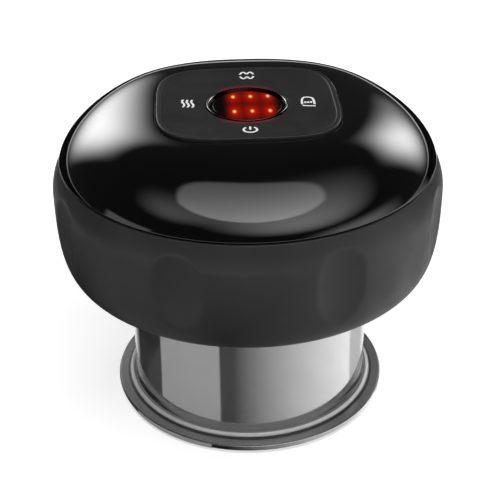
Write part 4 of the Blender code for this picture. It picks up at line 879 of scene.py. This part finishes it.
lens = {
    "radius": topCorner("display_window").x,
    "low": lowCorner("display_window").z,
    "top": topCorner("display_window").z,
    "crown": 0.05,
    "soft": 0.2,
    "sides": 128,
    "glass": (linear(10, 3, 3), linear(14, 4, 4)),
    "faceDepth": (0.4, 0.1),  # the glow starts and is full this far under the top
    "lampPitch": 4.07,
    "lampRows": 8.3,
    "aside": 1.0,
    "behind": 0.7,
    "spotLength": 1.95,  # a spot's size along Y against its size across
    "glowHalf": (5.5, 8.6),
    "glowFade": 2.6,
    "glowPower": 1.0,
    "coreTone": linear(255, 220, 130),  # a lamp's own light, out to its reach in millimetres
    "coreReach": 0.65,
    "redTone": linear(190, 20, 0),  # the red round it, half as strong at its reach
    "redReach": 1.4,
}


def lensMaterial(settings):
    material, tree, shader, place = startMaterial("lensTint", Roughness=0.12, Specular_IOR_Level=0.2)
    x, y, z = splitInMm(tree, place)
    x = minus(tree, x, settings["aside"])
    y = minus(tree, y, settings["behind"])
    column = maths(tree, "ROUND", over(tree, x, settings["lampPitch"]))
    column = maths(tree, "MINIMUM", maths(tree, "MAXIMUM", column, -1.0), 1.0)
    fromLampX = minus(tree, x, times(tree, column, settings["lampPitch"]))
    fromLampY = minus(tree, maths(tree, "ABSOLUTE", y), settings["lampRows"] / 2)
    fromLampY = over(tree, fromLampY, settings["spotLength"])
    away = levelReach(tree, fromLampX, fromLampY)
    core = mapped(tree, away, 0.0, settings["coreReach"], 1.0, 0.0)
    color = blendColors(tree, core, settings["redTone"], settings["coreTone"])
    spread = over(tree, away, settings["redReach"])
    spread = over(tree, 1.0, plus(tree, 1.0, times(tree, spread, spread)))
    halfX, halfY = settings["glowHalf"]
    fade = settings["glowFade"] / 2
    inX = mapped(tree, maths(tree, "ABSOLUTE", x), halfX - fade, halfX + fade, 1.0, 0.0)
    inY = mapped(tree, maths(tree, "ABSOLUTE", y), halfY - fade, halfY + fade, 1.0, 0.0)
    faceUp = mapped(tree, z, *(settings["top"] - depth for depth in settings["faceDepth"]))
    lit = times(tree, times(tree, inX, inY), times(tree, faceUp, spread))
    feed(shader, "Emission Color", blendColors(tree, lit, (0, 0, 0, 1), color))
    shader.inputs["Emission Strength"].default_value = settings["glowPower"]
    smudge = noise(tree, place, 1.5, 3)
    feed(shader, "Base Color", blendColors(tree, smudge, *settings["glass"]))
    return material


def makeLens():
    rows = [(0, lens["top"], 2, 1, 0.0)]
    for share in (0.3, 0.6, 0.85):
        rows.append(roundRow(lens["radius"] * share, lens["top"] - lens["crown"] * share ** 2))
    rows += [roundRow(lens["radius"], lens["top"] - lens["crown"], lens["soft"]),
             roundRow(lens["radius"], lens["low"], lens["soft"]), roundRow(0, lens["low"])]
    piece = turned("displayWindow", rows, lens["sides"])
    return finishPiece(piece, lensMaterial(lens), "casing", "lens_tint", "display_window")


makeLens()

lampTones = {"Base Color": (linear(250, 66, 30), linear(255, 120, 60)),
             "Emission Color": (linear(255, 40, 16), linear(255, 90, 30))}
lamps = {"Lamp Pitch": 4.0, "Row Gap": 8.1, "Lamp Length": 2.0, "Lamp Depth": 1.4, "Lamp Height": 0.7,
         "Lamp Level": lowCorner("level_led_1").z, "Lens Radius": 0.5}


def lampMaterial():
    material, tree, shader, place = startMaterial("lampRed", Roughness=0.3)
    cloud = noise(tree, place, 0.4, 2)
    for socket, tones in lampTones.items():
        feed(shader, socket, blendColors(tree, cloud, *tones))
    shader.inputs["Emission Strength"].default_value = 0.8
    return material


# three by two lamps, each a block with a round lens on it
def lampTree(values):
    tree, given = startTree("levelLamps", values)
    size = join(tree, given["Lamp Length"], given["Lamp Depth"], times(tree, given["Lamp Height"], 0.7))
    block = addNode(tree, "GeometryNodeMeshCube", {0: size}).outputs[0]
    dome = addNode(tree, "GeometryNodeMeshUVSphere", {"Segments": 20, "Rings": 10, "Radius": given["Lens Radius"]})
    low = addNode(tree, "GeometryNodeTransform", {
        0: dome.outputs[0], "Translation": join(tree, 0.0, 0.0, times(tree, given["Lamp Height"], 0.3)),
        "Scale": (1, 1, 0.6),
    }).outputs[0]
    lamp = addNode(tree, "GeometryNodeJoinGeometry")
    for part in (block, low):
        tree.links.new(part, lamp.inputs[0])
    spanX = times(tree, given["Lamp Pitch"], 2.0)
    grid = addNode(tree, "GeometryNodeMeshGrid", {0: spanX, 1: given["Row Gap"], 2: 3, 3: 2}).outputs[0]
    level = plus(tree, given["Lamp Level"], times(tree, given["Lamp Height"], 0.35))
    raised = addNode(tree, "GeometryNodeTransform", {0: grid, "Translation": join(tree, 0.0, 0.0, level)}).outputs[0]
    row = addNode(tree, "GeometryNodeInstanceOnPoints", {"Points": raised, "Instance": lamp.outputs[0]}).outputs[0]
    endTree(tree, row, given["Finish"])
    return tree


def makeLamps():
    values = {key: value * mm for key, value in lamps.items()}
    values["Finish"] = lampMaterial()
    piece = grow(placeObject("levelLamps", bpy.data.meshes.new("levelLamps")), lampTree(values), values)
    return finishPiece(piece, None, "casing", "lamp_red", *[f"level_led_{i}" for i in range(1, 7)])


makeLamps()

# the smoked cup with a mirror film on its wall
cup = {
    "rimRadius": topCorner("cup").x,
    "height": topCorner("cup").z,
    "rimWidth": 2.87,
    "rimThickness": 2.2,
    "rimSoft": 0.5,
    "footFlare": 1.7,
    "footStep": 0.5,
    "footTop": 5.4,
    "wall": 2.2,
    "topSoft": 0.4,
    "innerBevel": 1.0,
    "footSteps": 14,
    "sides": 256,
    "smoke": (linear(104), linear(118)),
    "film": (linear(232), linear(244)),
    "filmShare": 0.8,  # how much of the mirror film on the wall is metal
    "filmFrom": 5.3,
    "filmEdge": 0.2,
    "filmTop": (0.6, 0.4),  # the film thins out this far under the top
    "rimEdge": (0.2, 0.1),
    "bandEdge": 0.1,
    # a pale band low on the foot's curve, which lets no light through, is a painted highlight
    "arc": (2.7, 3.15),
    "arcHighlightTone": linear(246),
    # a dark line in the corner where the foot meets the rim's top is painted shade
    "cornerShade": (30.9, 31.5),
    "cornerShadeTone": linear(30),
}


def cupMaterial(settings, wallRadius):
    material, tree, shader, place = startMaterial("cupSmoke", IOR=1.49)
    x, y, z = splitInMm(tree, place)
    reach = levelReach(tree, x, y)
    outside = maths(tree, "GREATER_THAN", reach, wallRadius - 0.5)
    film = times(tree, outside, mapped(tree, z, settings["filmFrom"] - settings["filmEdge"],
                                               settings["filmFrom"] + settings["filmEdge"]))
    film = times(tree, film, mapped(tree, z, *(settings["height"] - depth for depth in settings["filmTop"]), 1.0, 0.0))
    edge = mapped(tree, reach, *(settings["rimRadius"] - depth for depth in settings["rimEdge"]))
    soft = settings["bandEdge"]
    # painted highlight: an opaque pale band low on the outside of the foot
    low, high = settings["arc"]
    arc = times(tree, mapped(tree, z, low - 0.08, low + 0.08),
                mapped(tree, z, high - 0.12, high + 0.12, 1.0, 0.0))
    arc = times(tree, arc, outside)
    # painted shade: a dark line on the rim's top beside the foot
    near, far = settings["cornerShade"]
    cornerShade = times(tree, mapped(tree, reach, near - soft, near),
                   mapped(tree, reach, far - soft, far + soft, 1.0, 0.0))
    cornerShade = times(tree, cornerShade, mapped(tree, z, 2.0, 2.1))
    smoke = blendColors(tree, noise(tree, place, 12, 2), *settings["smoke"])
    metal = maths(tree, "MAXIMUM", film, edge)
    smoke = blendColors(tree, cornerShade, smoke, settings["cornerShadeTone"])
    filmTone = blendColors(tree, noise(tree, place, 6, 2), *settings["film"])
    toned = blendColors(tree, metal, smoke, filmTone)
    feed(shader, "Base Color", blendColors(tree, arc, toned, settings["arcHighlightTone"]))
    feed(shader, "Metallic", times(tree, metal, settings["filmShare"]))
    feed(shader, "Transmission Weight", minus(tree, 1.0, arc))
    streaks = noise(tree, place, 3, 2, (1, 1, 0.3))
    feed(shader, "Roughness", mapped(tree, streaks, 0.3, 0.7, 0.05, 0.13))
    return material


def makeCup():
    footRadius = cup["rimRadius"] - cup["rimWidth"]
    radius = footRadius - cup["footFlare"]
    inner = radius - cup["wall"]
    stepTop = cup["rimThickness"] + cup["footStep"]
    rows = [roundRow(radius, cup["height"], cup["topSoft"])]
    for share in (0.75, 0.5, 0.25):
        rows.append(roundRow(radius, cup["footTop"] + (cup["height"] - cup["footTop"]) * share))
    for i in range(cup["footSteps"] + 1):
        angle = math.pi / 2 * i / cup["footSteps"]
        rows.append(roundRow(footRadius - cup["footFlare"] * math.cos(angle),
                             cup["footTop"] - (cup["footTop"] - stepTop) * math.sin(angle)))
    rows += [
        roundRow(footRadius, cup["rimThickness"], 0.15),
        roundRow(cup["rimRadius"], cup["rimThickness"], cup["rimSoft"]),
        roundRow(cup["rimRadius"], 0, cup["rimSoft"]),
        roundRow(inner + cup["innerBevel"], 0, 0.3),
        roundRow(inner, cup["innerBevel"], 0.3),
        roundRow(inner, cup["height"], cup["topSoft"]),
    ]
    piece = turned("clearCup", rows, cup["sides"])
    return finishPiece(piece, cupMaterial(cup, radius), "cup", "cup_smoke", "cup")


makeCup()

# the four case screws from below
screws = {"Head Radius": 2.6, "Head Height": 0.8, "Shank Radius": 1.2, "Shank Length": 9.5,
          "Head Level": lowCorner("case_screw_1").z, "Thread Pitch": 0.9, "Thread Root": 0.78, "Tip Length": 0.8,
          "Drive Radius": 0.9, "Drive Foot": 0.6, "Drive Depth": 0.6}  # root and depth are shares


def screwMesh(values):
    head, height = values["Head Radius"], values["Head Height"]
    shank, length = values["Shank Radius"], values["Shank Length"]
    level = values["Head Level"]
    neck, tip = level + height, level + height + length
    floor = level + height * values["Drive Depth"]
    rows = [roundRow(0, tip), roundRow(shank * 0.4, tip), roundRow(shank * 0.85, tip - values["Tip Length"])]
    for i in range(int((length - 2) / values["Thread Pitch"])):
        at = tip - 1.0 - i * values["Thread Pitch"]
        rows += [roundRow(shank, at), roundRow(shank * values["Thread Root"], at - values["Thread Pitch"] / 2)]
    rows += [roundRow(shank * 0.8, neck), roundRow(head, neck, 0.12), roundRow(head, level, 0.3),
             roundRow(values["Drive Radius"], level, 0.08), roundRow(values["Drive Foot"], floor), roundRow(0, floor)]
    return loft(softened(rows, 3), 40)


# one screw on each point of the start mesh
def screwTree(values):
    tree, given = startTree("caseScrews", values)
    one = addNode(tree, "GeometryNodeObjectInfo", {"Object": given["Screw"]}, transform_space="RELATIVE")
    row = addNode(tree, "GeometryNodeInstanceOnPoints", {"Points": given["Geometry"],
                                                         "Instance": one.outputs["Geometry"]}).outputs[0]
    endTree(tree, row, given["Finish"])
    return tree


def makeScrews():
    mesh = bpy.data.meshes.new("caseScrews")
    places = [middleOf(f"case_screw_{i}") * mm for i in range(1, 5)]
    mesh.from_pydata([(place.x, place.y, 0) for place in places], [], [])
    pattern = placeObject("screwPattern", meshFrom("screwPattern", screwMesh(screws)))
    values = {"Screw": pattern, "Finish": coatings["screwSteel"]}
    piece = grow(placeObject("caseScrews", mesh), screwTree(values), values)
    bpy.data.objects.remove(pattern)
    return finishPiece(piece, None, "casing", "steel", *[f"case_screw_{i}" for i in range(1, 5)])


makeScrews()

# the release valve's spring, which shortens as the plunger lifts; here it is built at one length
spring = {"Turns": 4.0, "Coil Radius": 1.9, "Wire Radius": 0.25, "steps": 28}


def springTree(values, steps):
    tree, given = startTree("valveSpring", values)
    coil = addNode(tree, "GeometryNodeCurveSpiral", {
        "Resolution": steps, "Rotations": given["Turns"], "Start Radius": given["Coil Radius"],
        "End Radius": given["Coil Radius"], "Height": given["Coil Height"],
    }).outputs[0]
    section = addNode(tree, "GeometryNodeCurvePrimitiveCircle", {
        "Resolution": 10, "Radius": given["Wire Radius"],
    }).outputs[0]
    wire = addNode(tree, "GeometryNodeCurveToMesh", {"Curve": coil, "Profile Curve": section,
                                                     "Fill Caps": True}).outputs[0]
    moved = addNode(tree, "GeometryNodeTransform", {0: wire, "Translation": given["Foot"]}).outputs[0]
    endTree(tree, moved, given["Finish"])
    return tree


def makeSpring():
    low, high = lowCorner("valve_spring"), topCorner("valve_spring")
    foot = Vector(((low.x + high.x) / 2, (low.y + high.y) / 2, low.z + spring["Wire Radius"])) * mm
    values = {key: value * mm for key, value in spring.items() if key.endswith("Radius")}
    values["Turns"] = spring["Turns"]
    values["Coil Height"] = (high.z - low.z - spring["Wire Radius"] * 2) * mm
    values["Foot"] = tuple(foot)
    values["Finish"] = coatings["canSteel"]
    tree = springTree(values, spring["steps"])
    piece = grow(placeObject("valveSpring", bpy.data.meshes.new("valveSpring")), tree, values)
    finishPiece(piece, None, "casing", "steel", "valve_spring")
    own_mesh(piece)


makeSpring()

# where the photograph was taken from
cameraView = {
    "distance": 254.1,  # level distance from the axis
    "height": 187.7,
    "downAngle": 30.8,
    "turn": -3.0,
    "roll": -0.516,
    "aside": 0.35,
    "lens": 86.34,
    "sensor": 36.0,
}


def placeCamera(view):
    turn, down, roll = (math.radians(view[key]) for key in ("turn", "downAngle", "roll"))
    level = Vector((-math.sin(turn), math.cos(turn), 0))
    right = Vector((math.cos(turn), math.sin(turn), 0))
    ahead = level * math.cos(down) - Vector((0, 0, math.sin(down)))
    up = level * math.sin(down) + Vector((0, 0, math.cos(down)))
    across = right * math.cos(roll) + up * math.sin(roll)
    above = up * math.cos(roll) - right * math.sin(roll)
    place = right * view["aside"] - level * view["distance"] + Vector((0, 0, view["height"]))
    camera = bpy.data.objects.new("camera", bpy.data.cameras.new("camera"))
    camera.data.lens = view["lens"]
    camera.data.sensor_width = view["sensor"]
    camera.data.clip_start = 0.01
    camera.data.clip_end = 20
    facing = Matrix((across, above, -ahead)).transposed().to_4x4()
    camera.matrix_world = Matrix.Translation(place * mm) @ facing
    bpy.context.scene.collection.objects.link(camera)
    bpy.context.scene.camera = camera


placeCamera(cameraView)
bpy.context.scene.view_settings.view_transform = "Standard"

studio = {
    "world": 0.03,
    "floorColor": 0.86,
    "floorLift": 0.62,  # what the floor adds for camera, glossy and transmitted rays
    "floorSize": 24000,
}

# azimuth from +X towards +Y, sizes and distances in millimetres, back is the far edge's share of the level
lights = {
    "leftBox": {"azimuth": 118, "elevation": 20, "distance": 700, "size": (600, 550), "level": 2.9, "soft": 0.95},
    "rightBox": {"azimuth": 46, "elevation": 22, "distance": 700, "size": (590, 570), "level": 2.95, "soft": 0.95},
    "overheadOval": {"azimuth": -88, "elevation": 76, "distance": 1030, "size": (1180, 1070), "level": 1.5,
                     "soft": 0.14, "round": True, "levelDown": True, "back": 0.3, "narrowBack": 1.35},
    "frontGlow": {"azimuth": -57, "elevation": 43, "distance": 1450, "size": (2900, 2700), "level": 1.2,
                  "soft": 1.0, "round": True, "levelDown": True},
    "leftGlow": {"azimuth": -148, "elevation": 47, "distance": 1300, "size": (1300, 1200), "level": 0.5,
                 "soft": 1.0, "round": True, "levelDown": True},
    "sideFill": {"azimuth": -30, "elevation": 8, "distance": 900, "size": (1300, 520), "level": 0.75, "soft": 0.9},
    "leftCard": {"azimuth": -163, "elevation": 6, "distance": 900, "size": (560, 250), "level": 0.48, "soft": 0.3},
}
aimHeight = 60


def addLight(name, settings):
    lamp = bpy.data.lights.new(name, "AREA")
    lamp.shape = "RECTANGLE"
    wide, tall = (side * mm for side in settings["size"])
    lamp.size, lamp.size_y = wide, tall
    lamp.energy = settings["level"] * wide * tall * 4
    azimuth, elevation = math.radians(settings["azimuth"]), math.radians(settings["elevation"])
    toward = Vector((
        math.cos(azimuth) * math.cos(elevation), math.sin(azimuth) * math.cos(elevation), math.sin(elevation)
    ))
    light = bpy.data.objects.new(name, lamp)
    light.location = toward * settings["distance"] * mm + Vector((0, 0, aimHeight * mm))
    if "levelDown" not in settings:
        light.rotation_mode = "QUATERNION"
        light.rotation_quaternion = toward.to_track_quat("Z", "Y")
    light.visible_camera = False
    bpy.context.scene.collection.objects.link(light)

    lamp.use_nodes = True  # fades the light towards its edges
    tree = lamp.node_tree
    emission = findNode(tree, "EMISSION")
    across, along, _ = split(tree, addNode(tree, "ShaderNodeNewGeometry").outputs["Parametric"])
    share = 1.0
    if "round" in settings:
        narrow = mapped(tree, along, 0.5, 1.0, 1.0, settings.get("narrowBack", 1.0), "LINEAR")
        reach = levelReach(tree, times(tree, minus(tree, across, 0.5), narrow), minus(tree, along, 0.5))
        share = mapped(tree, reach, 0.5, 0.5 - settings["soft"] / 2)
    else:
        for axis in (across, along):
            inside = minus(tree, 0.5, maths(tree, "ABSOLUTE", minus(tree, axis, 0.5)))
            share = times(tree, mapped(tree, inside, 0.0, settings["soft"] / 2), share)
    if "back" in settings:
        share = times(tree, mapped(tree, along, 0.0, 1.0, 1.0, settings["back"], "LINEAR"), share)
    tree.links.new(share, emission.inputs["Strength"])


for lightName, lightSettings in lights.items():
    addLight(lightName, lightSettings)

world = bpy.data.worlds.new("studio")
bpy.context.scene.world = world
world.use_nodes = True
backdrop = findNode(world.node_tree, "BACKGROUND")
backdrop.inputs["Color"].default_value = (1, 1, 1, 1)
backdrop.inputs["Strength"].default_value = studio["world"]


def makeFloor(settings):
    half = settings["floorSize"] * mm / 2
    low = -0.02 * mm
    mesh = bpy.data.meshes.new("floor")
    mesh.from_pydata([(-half, -half, low), (half, -half, low), (half, half, low), (-half, half, low)], [],
                     [(0, 1, 2, 3)])
    floor = placeObject("floor", mesh)
    material = bpy.data.materials.new("paleFloor")
    material.use_nodes = True
    tree = material.node_tree
    tree.nodes.clear()
    diffuse = addNode(tree, "ShaderNodeBsdfDiffuse", {"Color": (settings["floorColor"],) * 3 + (1,)})
    rays = addNode(tree, "ShaderNodeLightPath").outputs
    shown = maths(tree, "MAXIMUM", rays["Is Camera Ray"],
                  maths(tree, "MAXIMUM", rays["Is Glossy Ray"], rays["Is Transmission Ray"]))
    glow = addNode(tree, "ShaderNodeEmission", {"Strength": times(tree, shown, settings["floorLift"])})
    both = addNode(tree, "ShaderNodeAddShader", {0: diffuse.outputs[0], 1: glow.outputs[0]})
    addNode(tree, "ShaderNodeOutputMaterial", {"Surface": both.outputs[0]})
    mesh.materials.append(material)


makeFloor(studio)

# a low dark card that only reflections see keeps the gloss edge apart from the pale floor
backCard = {"reach": 190, "low": 1, "high": 62, "from": -8, "to": 215, "fade": (30, 30), "strength": 1.0}
# dark cloths round the cup, also for reflections only, by the angle on the wall where each one shows
cloths = {
    "leftCloth": {"from": -172, "to": -140, "fade": (10, 0.5), "level": 0.5, "strength": 1.0},
    "sideCloth": {"from": -141, "to": -106, "fade": (0.5, 0.5), "level": 0.3, "strength": 0.7},
    "frontCloth": {"from": -107, "to": -34, "fade": (0.5, 66), "level": 0.5, "strength": 1.0},
    "rightCloth": {"from": -34, "to": -14, "fade": (1, 6), "level": 0.5, "strength": 0.45},
}
clothNear = 34.3
clothLength = 120
cardTone = linear(22)
cardSteps = 96


def makeDarkCard(name, settings, edgeFor):
    points, faces, shades = [], [], []
    fadeIn, fadeOut = settings["fade"]
    for i in range(cardSteps + 1):
        angle = settings["from"] + (settings["to"] - settings["from"]) * i / cardSteps
        shade = min(1, (angle - settings["from"]) / fadeIn, (settings["to"] - angle) / fadeOut)
        points += [point * mm for point in edgeFor(settings, math.radians(angle))]
        shades += [shade * settings["strength"]] * 2
    for i in range(0, len(points) - 2, 2):
        faces.append((i, i + 1, i + 3, i + 2))
    mesh = bpy.data.meshes.new(name)
    mesh.from_pydata(points, [], faces)
    mesh.attributes.new("shade", "FLOAT", "POINT").data.foreach_set("value", shades)
    card = placeObject(name, mesh)
    card.visible_camera = card.visible_diffuse = card.visible_shadow = card.visible_transmission = False
    material, tree, shader, place = startMaterial(name, Roughness=0.9, Specular_IOR_Level=0.1)
    shader.inputs["Base Color"].default_value = cardTone
    shade = addNode(tree, "ShaderNodeAttribute", attribute_name="shade")
    feed(shader, "Alpha", shade.outputs["Fac"])
    mesh.materials.append(material)


def backEdge(settings, angle):
    out = Vector((math.cos(angle), math.sin(angle), 0)) * settings["reach"]
    return [out + Vector((0, 0, height)) for height in (settings["low"], settings["high"])]


# seen from the front, the wall mirrors the floor along this line
def clothEdge(settings, angle):
    wall = cup["rimRadius"] - cup["rimWidth"] - cup["footFlare"]
    start = Vector((math.cos(angle), math.sin(angle), 0)) * wall
    away = Vector((-math.sin(angle * 2), math.cos(angle * 2), 0))
    side = start.dot(away)
    near = math.sqrt(side ** 2 + clothNear ** 2 - wall ** 2) - side
    return [start + away * reach + Vector((0, 0, settings["level"])) for reach in (near, near + clothLength)]


makeDarkCard("backCard", backCard, backEdge)
for clothName, clothSettings in cloths.items():
    makeDarkCard(clothName, clothSettings, clothEdge)
print("camera, lights and floor ready")
